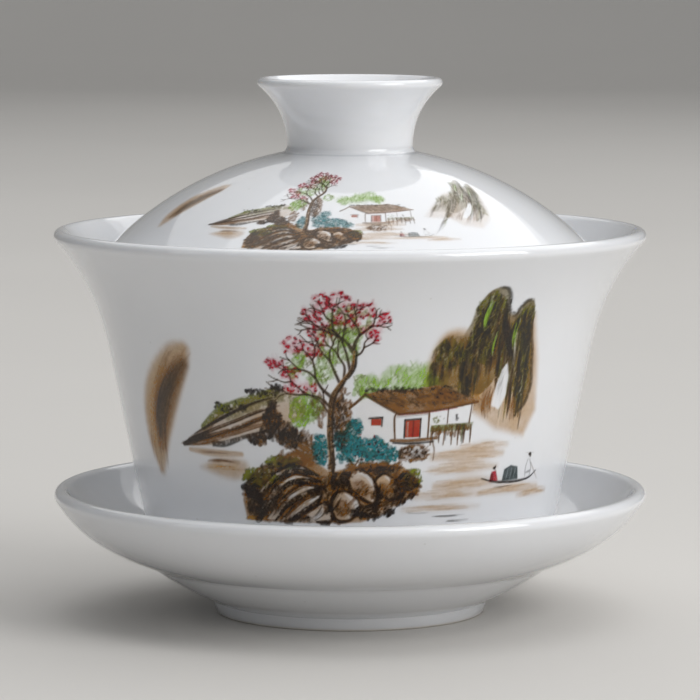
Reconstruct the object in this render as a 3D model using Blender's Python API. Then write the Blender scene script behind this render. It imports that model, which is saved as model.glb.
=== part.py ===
"""Gaiwan: a lidded porcelain tea bowl on its own saucer.

Three fired pieces, each turned about the Z axis: the saucer, the bowl that stands in the
saucer's well, and the lid that drops into the bowl's flared mouth. Metres, +Z up; the
saucer's foot ring stands on z = 0 and the common axis is x = y = 0.
"""

import math

import bmesh
import bpy
from mathutils import Vector
from mathutils.geometry import interpolate_bezier

MM = 0.001

# Saucer
SAUCER_RIM_R = 52.4 * MM
SAUCER_HEIGHT = 22.3 * MM
SAUCER_WALL = 2.6 * MM
SAUCER_RIM_DEG = 58.0
SAUCER_WING_DEG = 19.0
SAUCER_FOOT_R = 23.8 * MM
SAUCER_FOOT_WIDTH = 2.8 * MM
SAUCER_FOOT_HEIGHT = 2.3 * MM
SAUCER_RECESS = 3.4 * MM
SHOULDER_R = 36.0 * MM
SHOULDER_HEIGHT = 9.0 * MM
PEDESTAL_FOOT_DEG = 24.0
PEDESTAL_TOP_DEG = 36.0
WELL_FLOOR = 6.6 * MM
WELL_DEPTH = 1.4 * MM
WELL_STEP = 0.9 * MM

# Bowl
MOUTH_R = 52.2 * MM
BOWL_HEIGHT = 61.2 * MM
BOWL_WALL = 2.5 * MM
BOWL_BASE = 3.4 * MM
BOWL_FLARE_DEG = 49.0
BOWL_CONE_DEG = 78.5
THROAT_R = 42.2 * MM
THROAT_HEIGHT = 38.3 * MM
BELLY_HEIGHT = 11.6 * MM
BOWL_FOOT_R = 23.4 * MM
BOWL_FOOT_WIDTH = 2.6 * MM
BOWL_FOOT_HEIGHT = 4.0 * MM
BOWL_RECESS = 3.4 * MM
BOWL_FLOOR_R = 14.0 * MM

# Lid and its knob ring
LID_WALL = 2.3 * MM
LID_RISE = 19.8 * MM
LID_SEAT_DEPTH = 6.4 * MM
KNOB_R = 16.3 * MM
KNOB_HEIGHT = 11.9 * MM
KNOB_NECK_R = 11.1 * MM
KNOB_WALL = 1.7 * MM
KNOB_ROOT = 1.2 * MM
KNOB_FLARE_DEG = 42.0

# Fits
REST_GAP = 0.3 * MM
SEAT_GAP = 0.3 * MM
WELL_CLEARANCE = 1.2 * MM

# Foot rings widen upwards by this much
FOOT_DRAFT = 0.6 * MM

# Fineness of the turned surfaces
SEGMENTS = 48
WALL_STEPS = 7
DOME_STEPS = 9
BEND_STEPS = 4
WELD = 0.01 * MM

GLAZE_COLOUR = (0.86, 0.875, 0.89, 1.0)
GLAZE_ROUGHNESS = 0.08


def heading(degrees):
    """Unit direction in the half section, measured from +R towards +Z."""
    return Vector((math.cos(math.radians(degrees)), math.sin(math.radians(degrees))))


def sweep(start, start_deg, end, end_deg, steps):
    """A smooth stretch of outline that leaves and arrives at two headings."""
    first, last = Vector(start), Vector(end)
    reach = 0.38 * (last - first).length
    leaving = first + reach * heading(start_deg)
    arriving = last - reach * heading(end_deg)
    return interpolate_bezier(first, leaving, arriving, last, steps + 1)


def arc(centre, radius, start_deg, end_deg, steps):
    """A round stretch of outline about a centre."""
    sweep_deg = (end_deg - start_deg) / steps
    return [centre + radius * heading(start_deg + sweep_deg * step) for step in range(steps + 1)]


def join(*stretches):
    """One outline from several stretches, without the points that neighbours share."""
    outline = []
    for stretch in stretches:
        for point in map(Vector, stretch):
            if not outline or (point - outline[-1]).length > WELD:
                outline.append(point)
    return outline


def offset(outline, distance):
    """The outline moved to the left of its own direction."""
    moved = []
    last = len(outline) - 1
    for index, point in enumerate(outline):
        along = (outline[min(index + 1, last)] - outline[max(index - 1, 0)]).normalized()
        moved.append(point + distance * Vector((-along.y, along.x)))
    return moved


def lip_base(rim_r, rim_height, wall, flare_deg):
    """Where a wall's outer face meets the half-round lip that ends at a radius and height."""
    centre = Vector((rim_r - wall / 2, rim_height - wall / 2))
    return centre + wall / 2 * heading(flare_deg - 90)


def half_round(start, end):
    """The half circle that closes a wall, turning left from one face to the other."""
    centre = (start + end) / 2
    spoke = start - centre
    start_deg = math.degrees(math.atan2(spoke.y, spoke.x))
    return arc(centre, spoke.length, start_deg, start_deg + 180, BEND_STEPS)


def at_height(outline, height):
    """The point where a rising outline passes a height."""
    for low, high in zip(outline, outline[1:]):
        if low.y <= height <= high.y:
            return low.lerp(high, (height - low.y) / (high.y - low.y))
    raise ValueError("the outline never reaches that height")


def foot_ring(radius, width, base, recess, height):
    """Outline of a foot ring, from the axis under the piece to the top of the ring outside."""
    inner = radius - width
    return [
        (0, base + recess),
        (inner - FOOT_DRAFT, base + recess),
        (inner, base),
        (radius, base),
        (radius + FOOT_DRAFT, base + height),
    ]


def saucer_outline():
    """Half section of the saucer, from the axis underneath, round the rim, to the axis on top."""
    foot = foot_ring(SAUCER_FOOT_R, SAUCER_FOOT_WIDTH, 0, SAUCER_RECESS, SAUCER_FOOT_HEIGHT)
    shoulder = (SHOULDER_R, SHOULDER_HEIGHT)
    rim = lip_base(SAUCER_RIM_R, SAUCER_HEIGHT, SAUCER_WALL, SAUCER_RIM_DEG)
    wing = sweep(shoulder, SAUCER_WING_DEG, rim, SAUCER_RIM_DEG, WALL_STEPS)
    dish = offset(wing, SAUCER_WALL)
    well_r = BOWL_FOOT_R + WELL_CLEARANCE
    return join(
        foot,
        sweep(foot[-1], PEDESTAL_FOOT_DEG, shoulder, PEDESTAL_TOP_DEG, BEND_STEPS),
        wing,
        half_round(wing[-1], dish[-1]),
        reversed(dish),
        [(well_r + WELL_STEP, WELL_FLOOR + WELL_DEPTH), (well_r, WELL_FLOOR), (0, WELL_FLOOR)],
    )


def bowl_base():
    """Height at which the bowl's foot stands, just clear of the saucer's well."""
    return WELL_FLOOR + REST_GAP


def bowl_wall():
    """Outer face of the bowl from the foot ring to the lip: a round belly, a cone and a flare."""
    foot_top = (BOWL_FOOT_R + FOOT_DRAFT, bowl_base() + BOWL_FOOT_HEIGHT)
    throat = Vector((THROAT_R, bowl_base() + THROAT_HEIGHT))
    cone_length = (THROAT_HEIGHT - BELLY_HEIGHT) / math.sin(math.radians(BOWL_CONE_DEG))
    belly = throat - cone_length * heading(BOWL_CONE_DEG)
    lip = lip_base(MOUTH_R, bowl_base() + BOWL_HEIGHT, BOWL_WALL, BOWL_FLARE_DEG)
    return join(
        sweep(foot_top, 8, belly, BOWL_CONE_DEG, BEND_STEPS),
        sweep(throat, BOWL_CONE_DEG, lip, BOWL_FLARE_DEG, WALL_STEPS),
    )


def bowl_outline():
    """Half section of the bowl, from the axis underneath, round the lip, to the axis inside."""
    base = bowl_base()
    foot = foot_ring(BOWL_FOOT_R, BOWL_FOOT_WIDTH, base, BOWL_RECESS, BOWL_FOOT_HEIGHT)
    wall = bowl_wall()
    inside = offset(wall, BOWL_WALL)
    belly = inside[BEND_STEPS]
    floor = (BOWL_FLOOR_R, base + BOWL_RECESS + BOWL_BASE)
    return join(
        foot,
        wall,
        half_round(wall[-1], inside[-1]),
        reversed(inside[BEND_STEPS:]),
        sweep(belly, BOWL_CONE_DEG + 180, floor, 180, BEND_STEPS),
        [(0, floor[1])],
    )


def lid_outline():
    """Half section of the lid, from the axis underneath, round the edge and the knob ring, to
    the axis in the knob's hollow. The edge rests on the flare at a set depth below the rim."""
    edge_path = offset(bowl_wall(), BOWL_WALL + SEAT_GAP + LID_WALL / 2)
    edge = at_height(edge_path, bowl_base() + BOWL_HEIGHT - LID_SEAT_DEPTH)
    middle_r = (edge.x**2 + LID_RISE**2) / (2 * LID_RISE)
    outer_r = middle_r + LID_WALL / 2
    centre = Vector((0, edge.y + LID_RISE - middle_r))
    edge_deg = math.degrees(math.atan2(edge.y - centre.y, edge.x))
    under = arc(centre, middle_r - LID_WALL / 2, 90, edge_deg, DOME_STEPS)

    root_deg = math.degrees(math.acos((KNOB_NECK_R + KNOB_ROOT) / outer_r))
    hollow_r = KNOB_NECK_R - KNOB_WALL - KNOB_ROOT
    hollow_deg = math.degrees(math.acos(hollow_r / outer_r))
    dome = arc(centre, outer_r, edge_deg, root_deg, DOME_STEPS)
    hollow = arc(centre, outer_r, hollow_deg, 90, 2)

    neck = (KNOB_NECK_R, dome[-1].y + KNOB_ROOT)
    knob_top = hollow[-1].y + KNOB_HEIGHT
    lip = lip_base(KNOB_R, knob_top, KNOB_WALL, KNOB_FLARE_DEG)
    knob = sweep(neck, 90, lip, KNOB_FLARE_DEG, WALL_STEPS)
    knob_inside = offset(knob, KNOB_WALL)
    return join(
        under,
        half_round(under[-1], dome[0]),
        dome,
        sweep(dome[-1], root_deg + 90, neck, 90, 2),
        knob,
        half_round(knob[-1], knob_inside[-1]),
        reversed(knob_inside),
        hollow,
    )


def glaze(name):
    """The smooth white glaze of one piece."""
    material = bpy.data.materials.new(name)
    material.use_nodes = True
    shader = material.node_tree.nodes["Principled BSDF"]
    shader.inputs["Base Color"].default_value = GLAZE_COLOUR
    shader.inputs["Roughness"].default_value = GLAZE_ROUGHNESS
    shader.inputs["Metallic"].default_value = 0.0
    return material


def turned(name, outline):
    """A round solid: a half section that starts and ends on the axis is spun a full turn."""
    work = bmesh.new()
    points = [work.verts.new((point.x, 0, point.y)) for point in outline]
    edges = [work.edges.new(pair) for pair in zip(points, points[1:])]
    bmesh.ops.spin(
        work,
        geom=points + edges,
        axis=(0, 0, 1),
        cent=(0, 0, 0),
        angle=math.tau,
        steps=SEGMENTS,
        use_merge=True,
    )
    bmesh.ops.remove_doubles(work, verts=work.verts, dist=WELD)
    bmesh.ops.recalc_face_normals(work, faces=work.faces)
    mesh = bpy.data.meshes.new(name)
    work.to_mesh(mesh)
    work.free()
    mesh.shade_smooth()
    mesh.set_sharp_from_angle(angle=math.radians(40))
    mesh.materials.append(glaze(name + "_glaze"))
    piece = bpy.data.objects.new(name, mesh)
    bpy.context.scene.collection.objects.link(piece)
    return piece


def main():
    for leftover in list(bpy.data.objects):
        bpy.data.objects.remove(leftover)
    saucer = turned("saucer", saucer_outline())
    bowl = turned("bowl", bowl_outline())
    lid = turned("lid", lid_outline())
    bowl.parent = saucer
    lid.parent = bowl


main()
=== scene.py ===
"""Looks of a lidded porcelain tea bowl on its saucer.

Three fired pieces are turned at a fine step from the same half sections as the frame: the
saucer, the bowl and the lid. Each gets a clear glaze, an unglazed foot or a luting line where
the real piece has one, and the bowl and the lid carry an overglaze landscape in fired enamels:
a brushed hill, an islet, a rock island with a blossoming tree, a cottage on stilts, peaks with
a waterfall and a small boat. Metres, +Z up, the painted side faces -Y.
"""

import logging
import math
from collections.abc import Callable
from dataclasses import dataclass, field
from enum import Enum

import bmesh
import bpy
import numpy as np
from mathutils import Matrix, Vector
from mathutils.geometry import interpolate_bezier


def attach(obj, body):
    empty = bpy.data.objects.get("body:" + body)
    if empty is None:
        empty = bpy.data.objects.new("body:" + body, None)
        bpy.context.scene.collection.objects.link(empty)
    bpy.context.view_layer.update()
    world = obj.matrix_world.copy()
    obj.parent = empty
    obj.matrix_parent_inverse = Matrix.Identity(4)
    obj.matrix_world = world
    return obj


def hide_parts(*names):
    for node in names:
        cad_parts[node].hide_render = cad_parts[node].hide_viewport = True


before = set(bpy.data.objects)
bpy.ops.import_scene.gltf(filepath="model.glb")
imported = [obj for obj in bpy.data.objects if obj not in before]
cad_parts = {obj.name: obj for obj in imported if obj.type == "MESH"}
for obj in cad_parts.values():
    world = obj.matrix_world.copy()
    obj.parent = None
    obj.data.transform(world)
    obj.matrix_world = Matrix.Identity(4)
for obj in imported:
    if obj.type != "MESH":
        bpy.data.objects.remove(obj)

MM = 0.001
LOG = logging.getLogger("gaiwan")

# Gap that the lid keeps to its seat in the bowl's mouth, how much foot rings widen upwards and
# how far their edges are rounded
SEAT_GAP = 0.3 * MM
FOOT_DRAFT = 0.6 * MM
FOOT_BEVEL = 0.35 * MM

# Fineness of the turned surfaces
SEGMENTS = 256
WALL_STEPS = 44
DOME_STEPS = 48
BEND_STEPS = 14
LIP_STEPS = 12
WELD = 0.002 * MM
BEZIER_REACH = 0.38
SHARP_DEG = 50.0


# ---------------------------------------------------------------- half sections


def heading(degrees: float) -> Vector:
    """Unit direction in the half section, measured from +R towards +Z."""
    return Vector((math.cos(math.radians(degrees)), math.sin(math.radians(degrees))))


def sweep(start: Vector, start_deg: float, end: Vector, end_deg: float, steps: int) -> list[Vector]:
    """A smooth stretch of outline that leaves and arrives at two headings.

    Args:
        start: First point, radius and height.
        start_deg: Heading on leaving the first point.
        end: Last point.
        end_deg: Heading on arriving at the last point.
        steps: Number of equal steps along the stretch.

    Returns:
        The points of the stretch, both ends included.
    """
    first, last = Vector(start), Vector(end)
    reach = BEZIER_REACH * (last - first).length
    leaving = first + reach * heading(start_deg)
    arriving = last - reach * heading(end_deg)
    return interpolate_bezier(first, leaving, arriving, last, steps + 1)


def arc(centre: Vector, radius: float, start_deg: float, end_deg: float, steps: int) -> list[Vector]:
    """A round stretch of outline about a centre.

    Args:
        centre: Centre of the arc.
        radius: Radius of the arc.
        start_deg: Direction of the first point from the centre.
        end_deg: Direction of the last point from the centre.
        steps: Number of equal steps along the arc.

    Returns:
        The points of the arc, both ends included.
    """
    turn = (end_deg - start_deg) / steps
    return [centre + radius * heading(start_deg + turn * step) for step in range(steps + 1)]


def join(*stretches: list[Vector]) -> list[Vector]:
    """One outline from several stretches, without the points that neighbours share.

    Args:
        stretches: The stretches in walking order.

    Returns:
        The joined outline.
    """
    outline: list[Vector] = []
    for stretch in stretches:
        for point in map(Vector, stretch):
            if not outline or (point - outline[-1]).length > WELD:
                outline.append(point)
    return outline


def offset(outline: list[Vector], distance: float) -> list[Vector]:
    """The outline moved to the left of its own direction.

    Args:
        outline: The points to move.
        distance: How far they move.

    Returns:
        As many points, moved square to the outline.
    """
    moved = []
    last = len(outline) - 1
    for index, point in enumerate(outline):
        along = (outline[min(index + 1, last)] - outline[max(index - 1, 0)]).normalized()
        moved.append(point + distance * Vector((-along.y, along.x)))
    return moved


def lip_base(rim_r: float, rim_height: float, wall: float, flare_deg: float) -> Vector:
    """Where a wall's outer face meets the half-round lip that ends at a radius and height.

    Args:
        rim_r: Largest radius of the lip.
        rim_height: Highest point of the lip.
        wall: Thickness of the wall.
        flare_deg: Heading of the wall at the lip.

    Returns:
        The point where the half round starts.
    """
    centre = Vector((rim_r - wall / 2, rim_height - wall / 2))
    return centre + wall / 2 * heading(flare_deg - 90)


def half_round(start: Vector, end: Vector) -> list[Vector]:
    """The half circle that closes a wall, turning left from one face to the other.

    Args:
        start: End of the outer face.
        end: Start of the inner face.

    Returns:
        The points of the half circle.
    """
    centre = (start + end) / 2
    spoke = start - centre
    start_deg = math.degrees(math.atan2(spoke.y, spoke.x))
    return arc(centre, spoke.length, start_deg, start_deg + 180, LIP_STEPS)


def at_height(outline: list[Vector], height: float) -> Vector:
    """The point where a rising outline passes a height.

    Args:
        outline: A stretch that rises all the way.
        height: The height looked for.

    Returns:
        The point at that height.

    Raises:
        ValueError: If the outline never reaches the height.
    """
    for low, high in zip(outline, outline[1:]):
        if low.y <= height <= high.y:
            return low.lerp(high, (height - low.y) / (high.y - low.y))
    raise ValueError("the outline never reaches that height")


def foot_ring(radius: float, width: float, base: float, recess: float, height: float) -> list[Vector]:
    """Outline of a foot ring with softened edges, from the axis underneath to its top outside.

    Args:
        radius: Outer radius of the flat that the piece stands on.
        width: Width of that flat.
        base: Height of the flat.
        recess: Depth of the hollow inside the ring.
        height: Height of the ring outside.

    Returns:
        The points of the ring, bevels included.
    """
    inner = radius - width
    top = Vector((radius + FOOT_DRAFT, base + height))
    slope = (top - Vector((radius, base))).normalized()
    roof = Vector((inner - FOOT_DRAFT, base + recess))
    rise = (roof - Vector((inner, base))).normalized()
    return [
        Vector((0, base + recess)),
        roof - Vector((FOOT_BEVEL, 0)),
        roof - FOOT_BEVEL * rise,
        Vector((inner, base)) + FOOT_BEVEL * rise,
        Vector((inner + FOOT_BEVEL, base)),
        Vector((radius - FOOT_BEVEL, base)),
        Vector((radius, base)) + FOOT_BEVEL * slope,
        top,
    ]


def turned(name: str, outline: list[Vector]) -> bpy.types.Object:
    """A round solid: a half section that starts and ends on the axis is spun a full turn.

    Args:
        name: Name of the piece.
        outline: Half section, radius and height.

    Returns:
        The new object, linked to the scene, with its place in its mesh.
    """
    work = bmesh.new()
    points = [work.verts.new((point.x, 0, point.y)) for point in outline]
    edges = [work.edges.new(pair) for pair in zip(points, points[1:])]
    bmesh.ops.spin(
        work,
        geom=points + edges,
        axis=(0, 0, 1),
        cent=(0, 0, 0),
        angle=math.tau,
        steps=SEGMENTS,
        use_merge=True,
    )
    bmesh.ops.remove_doubles(work, verts=work.verts, dist=WELD)
    bmesh.ops.recalc_face_normals(work, faces=work.faces)
    return linked(name, work)


def linked(name: str, work: bmesh.types.BMesh) -> bpy.types.Object:
    """Turns a finished bmesh into a smooth object of the scene.

    Args:
        name: Name of the piece.
        work: The finished shape, which is freed.

    Returns:
        The new object.
    """
    mesh = bpy.data.meshes.new(name)
    work.to_mesh(mesh)
    work.free()
    mesh.shade_smooth()
    mesh.set_sharp_from_angle(angle=math.radians(SHARP_DEG))
    piece = bpy.data.objects.new(name, mesh)
    bpy.context.scene.collection.objects.link(piece)
    return piece


# ---------------------------------------------------------------- shader groups

WHITE_BODY = (0.80, 0.81, 0.83, 1.0)
BARE_PORCELAIN = (0.70, 0.66, 0.60, 1.0)
LUTING_SHADE = (0.42, 0.43, 0.46, 1.0)


class NodeSheet:
    """Places nodes and links in one node tree."""

    def __init__(self, tree: bpy.types.NodeTree) -> None:
        """Works on a tree.

        Args:
            tree: The tree that the nodes go in.
        """
        self.tree = tree

    def node(self, kind: str, **settings: object) -> bpy.types.Node:
        """A new node.

        Args:
            kind: The node's type name without its prefix.
            settings: Values of the node's own properties.

        Returns:
            The node.
        """
        made = self.tree.nodes.new("ShaderNode" + kind)
        for name, value in settings.items():
            setattr(made, name, value)
        return made

    def plug(self, source: object, target: bpy.types.NodeSocket) -> None:
        """Links a socket to another, or sets a constant on it.

        Args:
            source: An output socket, or a plain value.
            target: The input socket.
        """
        if isinstance(source, bpy.types.NodeSocket):
            self.tree.links.new(source, target)
        else:
            target.default_value = source

    def math(self, operation: str, first: object, second: object = 0.0) -> bpy.types.NodeSocket:
        """The result of a Math node.

        Args:
            operation: The node's operation.
            first: First operand, a socket or a number.
            second: Second operand.

        Returns:
            The result's socket.
        """
        made = self.node("Math", operation=operation)
        self.plug(first, made.inputs[0])
        self.plug(second, made.inputs[1])
        return made.outputs[0]

    def ramp(self, value: object, low: object, high: object) -> bpy.types.NodeSocket:
        """A value moved smoothly from 0 at low to 1 at high.

        Args:
            value: The value.
            low: Where the result is still 0.
            high: Where the result is 1.

        Returns:
            The result's socket.
        """
        made = self.node("MapRange", interpolation_type="SMOOTHSTEP")
        self.plug(value, made.inputs["Value"])
        self.plug(low, made.inputs["From Min"])
        self.plug(high, made.inputs["From Max"])
        return made.outputs["Result"]

    def mix(self, share: object, first: object, second: object, blend: str = "MIX") -> bpy.types.NodeSocket:
        """The result of a colour Mix node.

        Args:
            share: How much of the second colour.
            first: First colour.
            second: Second colour.
            blend: The blend type.

        Returns:
            The result's socket.
        """
        made = self.node("Mix", data_type="RGBA", blend_type=blend)
        self.plug(share, made.inputs[0])
        self.plug(first, made.inputs[6])
        self.plug(second, made.inputs[7])
        return made.outputs[2]

    def noise(self, vector: object, scale: object, detail: float = 3.0) -> bpy.types.NodeSocket:
        """The value of a Noise Texture.

        Args:
            vector: Where the noise is read.
            scale: Scale of the noise, per metre.
            detail: Number of octaves.

        Returns:
            The value's socket.
        """
        made = self.node("TexNoise")
        self.plug(vector, made.inputs["Vector"])
        self.plug(scale, made.inputs["Scale"])
        made.inputs["Detail"].default_value = detail
        return made.outputs["Fac"]

    def place(self) -> bpy.types.NodeSocket:
        """Object coordinates, in metres."""
        return self.node("TexCoord").outputs["Object"]


Socket = tuple[str, str, object]


def shader_group(name: str, inputs: list[Socket], outputs: list[Socket]) -> tuple[NodeSheet, dict, dict]:
    """An empty node group with named sockets.

    Args:
        name: Name of the group.
        inputs: Name, type and default of each input.
        outputs: Name, type and default of each output.

    Returns:
        The sheet of the group's tree, its input sockets and its output sockets by name.
    """
    tree = bpy.data.node_groups.new(name, "ShaderNodeTree")
    for side, sockets in (("INPUT", inputs), ("OUTPUT", outputs)):
        for label, kind, default in sockets:
            made = tree.interface.new_socket(label, in_out=side, socket_type="NodeSocket" + kind)
            if default is not None:
                made.default_value = default
    sheet = NodeSheet(tree)
    entry, leave = tree.nodes.new("NodeGroupInput"), tree.nodes.new("NodeGroupOutput")
    return sheet, dict(entry.outputs.items()), dict(leave.inputs.items())


def finish(name: str) -> tuple[bpy.types.Material, NodeSheet, bpy.types.Node]:
    """A new material with nodes.

    Args:
        name: Name of the material.

    Returns:
        The material, the sheet of its tree and its Principled shader.
    """
    made = bpy.data.materials.new(name)
    made.use_nodes = True
    return made, NodeSheet(made.node_tree), made.node_tree.nodes["Principled BSDF"]


def set_inputs(node: bpy.types.Node, values: dict[str, object]) -> None:
    """Sets constants on a node's inputs.

    Args:
        node: The node.
        values: Each input's name and its value.
    """
    for label, value in values.items():
        node.inputs[label].default_value = value


# ---------------------------------------------------------------- enamel painting


class Ink(Enum):
    """The enamels of the palette, each as the colour that a full coat lets through."""

    UMBER = (0.32, 0.18, 0.09)
    SOOT = (0.030, 0.022, 0.018)
    OCHRE = (0.76, 0.50, 0.27)
    MOSS = (0.27, 0.29, 0.05)
    LEAF = (0.46, 0.68, 0.20)
    TURQUOISE = (0.03, 0.27, 0.30)
    ROSE = (0.93, 0.50, 0.55)
    CRIMSON = (0.60, 0.03, 0.055)


UMBER, SOOT, OCHRE, MOSS, LEAF, TURQUOISE, ROSE, CRIMSON = Ink

Points = list[tuple[float, float]]
Window = tuple[slice, slice]
TINY = 1e-9

# The canvas, in millimetres: its cells, the patches of the glaze's tooth and of a wash's drift,
# and how much of each pattern its finer patches make up
CELL = 0.1
TOOTH_SIZES = (0.28, 0.9)
DRIFT_SIZES = (1.8, 5.0)
FINE_SHARE = 0.6

# The brush, in millimetres: its usual soft edge, the hardest edge and finest touch it can make,
# how a touch and a hair taper, and how gradually the tooth takes a dry stroke
SOFT_EDGE = 0.15
HARDEST_EDGE = 0.1
FINEST_TOUCH = 0.16
TOUCH_TAPER = 0.6
HAIR_TAPER = (0.5, 1, 0.4)
TOOTH_FADE = 0.3

# What varies from touch to touch and from hair to hair, each as the least share and what chance
# adds: a touch's width and density, and how much of its usual length a hair has
TOUCH_WIDTH, TOUCH_DENSITY, HAIR_LENGTH = (0.7, 0.6), (0.7, 0.3), (0.5, 1)


def curve_through(points: np.ndarray, steps: int = 5) -> np.ndarray:
    """A smooth curve through points.

    Args:
        points: One row for each point, with any number of columns.
        steps: Steps in each span between two points.

    Returns:
        The curve's points, one row each.
    """
    if len(points) < 3:
        return points
    padded = np.vstack([2 * points[0] - points[1], points, 2 * points[-1] - points[-2]])
    before, start, end, after = padded[:-3], padded[1:-2], padded[2:-1], padded[3:]
    share = (np.arange(steps) / steps)[:, None, None]
    linear, cube = end - before, 3 * (start - end) + after - before
    square = 2 * before - 5 * start + 4 * end - after
    spans = start + 0.5 * share * (linear + share * (square + share * cube))
    return np.vstack([spans.transpose(1, 0, 2).reshape(-1, points.shape[1]), points[-1]])


def nearest(line: np.ndarray, x: np.ndarray, y: np.ndarray) -> tuple[np.ndarray, ...]:
    """Where each cell comes nearest to each span of a line.

    Args:
        line: The line's points, one row each.
        x: The cells' places across.
        y: The cells' places upward.

    Returns:
        For each span its start and its step, and for each cell how far along the span it comes
        nearest, from 0 to 1, and how far off it is there.
    """
    start, span = line[:-1, :, None, None], np.diff(line, axis=0)[:, :, None, None]
    length = np.maximum(span[:, 0] ** 2 + span[:, 1] ** 2, TINY)
    share = ((x - start[:, 0]) * span[:, 0] + (y - start[:, 1]) * span[:, 1]) / length
    share = np.clip(share, 0, 1)
    away = np.hypot(x - start[:, 0] - share * span[:, 0], y - start[:, 1] - share * span[:, 1])
    return start, span, share, away


def smooth_step(value: np.ndarray) -> np.ndarray:
    """Values from 0 to 1 eased at both ends."""
    value = np.clip(value, 0, 1)
    return value * value * (3 - 2 * value)


class Canvas:
    """A flat sheet in millimetres that holds one density for each ink."""

    def __init__(self, left: float, right: float, bottom: float, top: float, seed: int) -> None:
        """Starts with bare glaze.

        Args:
            left: Left edge, in millimetres.
            right: Right edge.
            bottom: Bottom edge.
            top: Top edge.
            seed: Seed of everything random on this sheet.
        """
        self.cell = CELL
        self.left, self.bottom = left, bottom
        self.across = left + self.cell * np.arange(int((right - left) / self.cell) + 1)
        self.upward = bottom + self.cell * np.arange(int((top - bottom) / self.cell) + 1)
        self.random = np.random.default_rng(seed)
        shape = (len(self.upward), len(self.across))
        self.paint = {ink: np.zeros(shape, np.float32) for ink in Ink}
        self.tooth, self.drift = (
            self.cloud(fine) * FINE_SHARE + self.cloud(coarse) * (1 - FINE_SHARE)
            for fine, coarse in (TOOTH_SIZES, DRIFT_SIZES)
        )

    def cloud(self, size: float) -> np.ndarray:
        """Smooth noise from 0 to 1.

        Args:
            size: Typical size of a patch, in millimetres.

        Returns:
            One value for each cell of the sheet.
        """
        rows, columns = len(self.upward), len(self.across)
        step = size / self.cell
        knots = self.random.random((int(rows / step) + 3, int(columns / step) + 3))
        y, x = np.arange(rows) / step, np.arange(columns) / step
        low_y, low_x = y.astype(int), x.astype(int)
        share_y, share_x = smooth_step(y - low_y)[:, None], smooth_step(x - low_x)[None]
        near = knots[low_y][:, low_x] * (1 - share_x) + knots[low_y][:, low_x + 1] * share_x
        far = knots[low_y + 1][:, low_x] * (1 - share_x) + knots[low_y + 1][:, low_x + 1] * share_x
        return near * (1 - share_y) + far * share_y

    def cells(self, points: np.ndarray, margin: float) -> tuple[Window, np.ndarray, np.ndarray]:
        """The cells around some points.

        Args:
            points: Places, one row each.
            margin: How far past them the cells reach.

        Returns:
            The rows and columns of the cells, and their places across and upward.
        """
        low, high = points[:, :2].min(0) - margin, points[:, :2].max(0) + margin
        columns = slice(*np.searchsorted(self.across, [low[0], high[0]]))
        rows = slice(*np.searchsorted(self.upward, [low[1], high[1]]))
        return (rows, columns), self.across[columns][None, None], self.upward[rows][None, :, None]

    def put(self, ink: Ink | None, window: Window, mask: np.ndarray) -> None:
        """Adds a film of ink over what is there, or takes every ink off as a reserved highlight does.

        Args:
            ink: The enamel, or None to wipe.
            window: Rows and columns of the cells.
            mask: Density of the new film, or how much is taken off, from 0 to 1.
        """
        if ink is None:
            for film in self.paint.values():
                film[window] *= 1 - mask
        else:
            film = self.paint[ink][window]
            film += (1 - film) * mask


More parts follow.
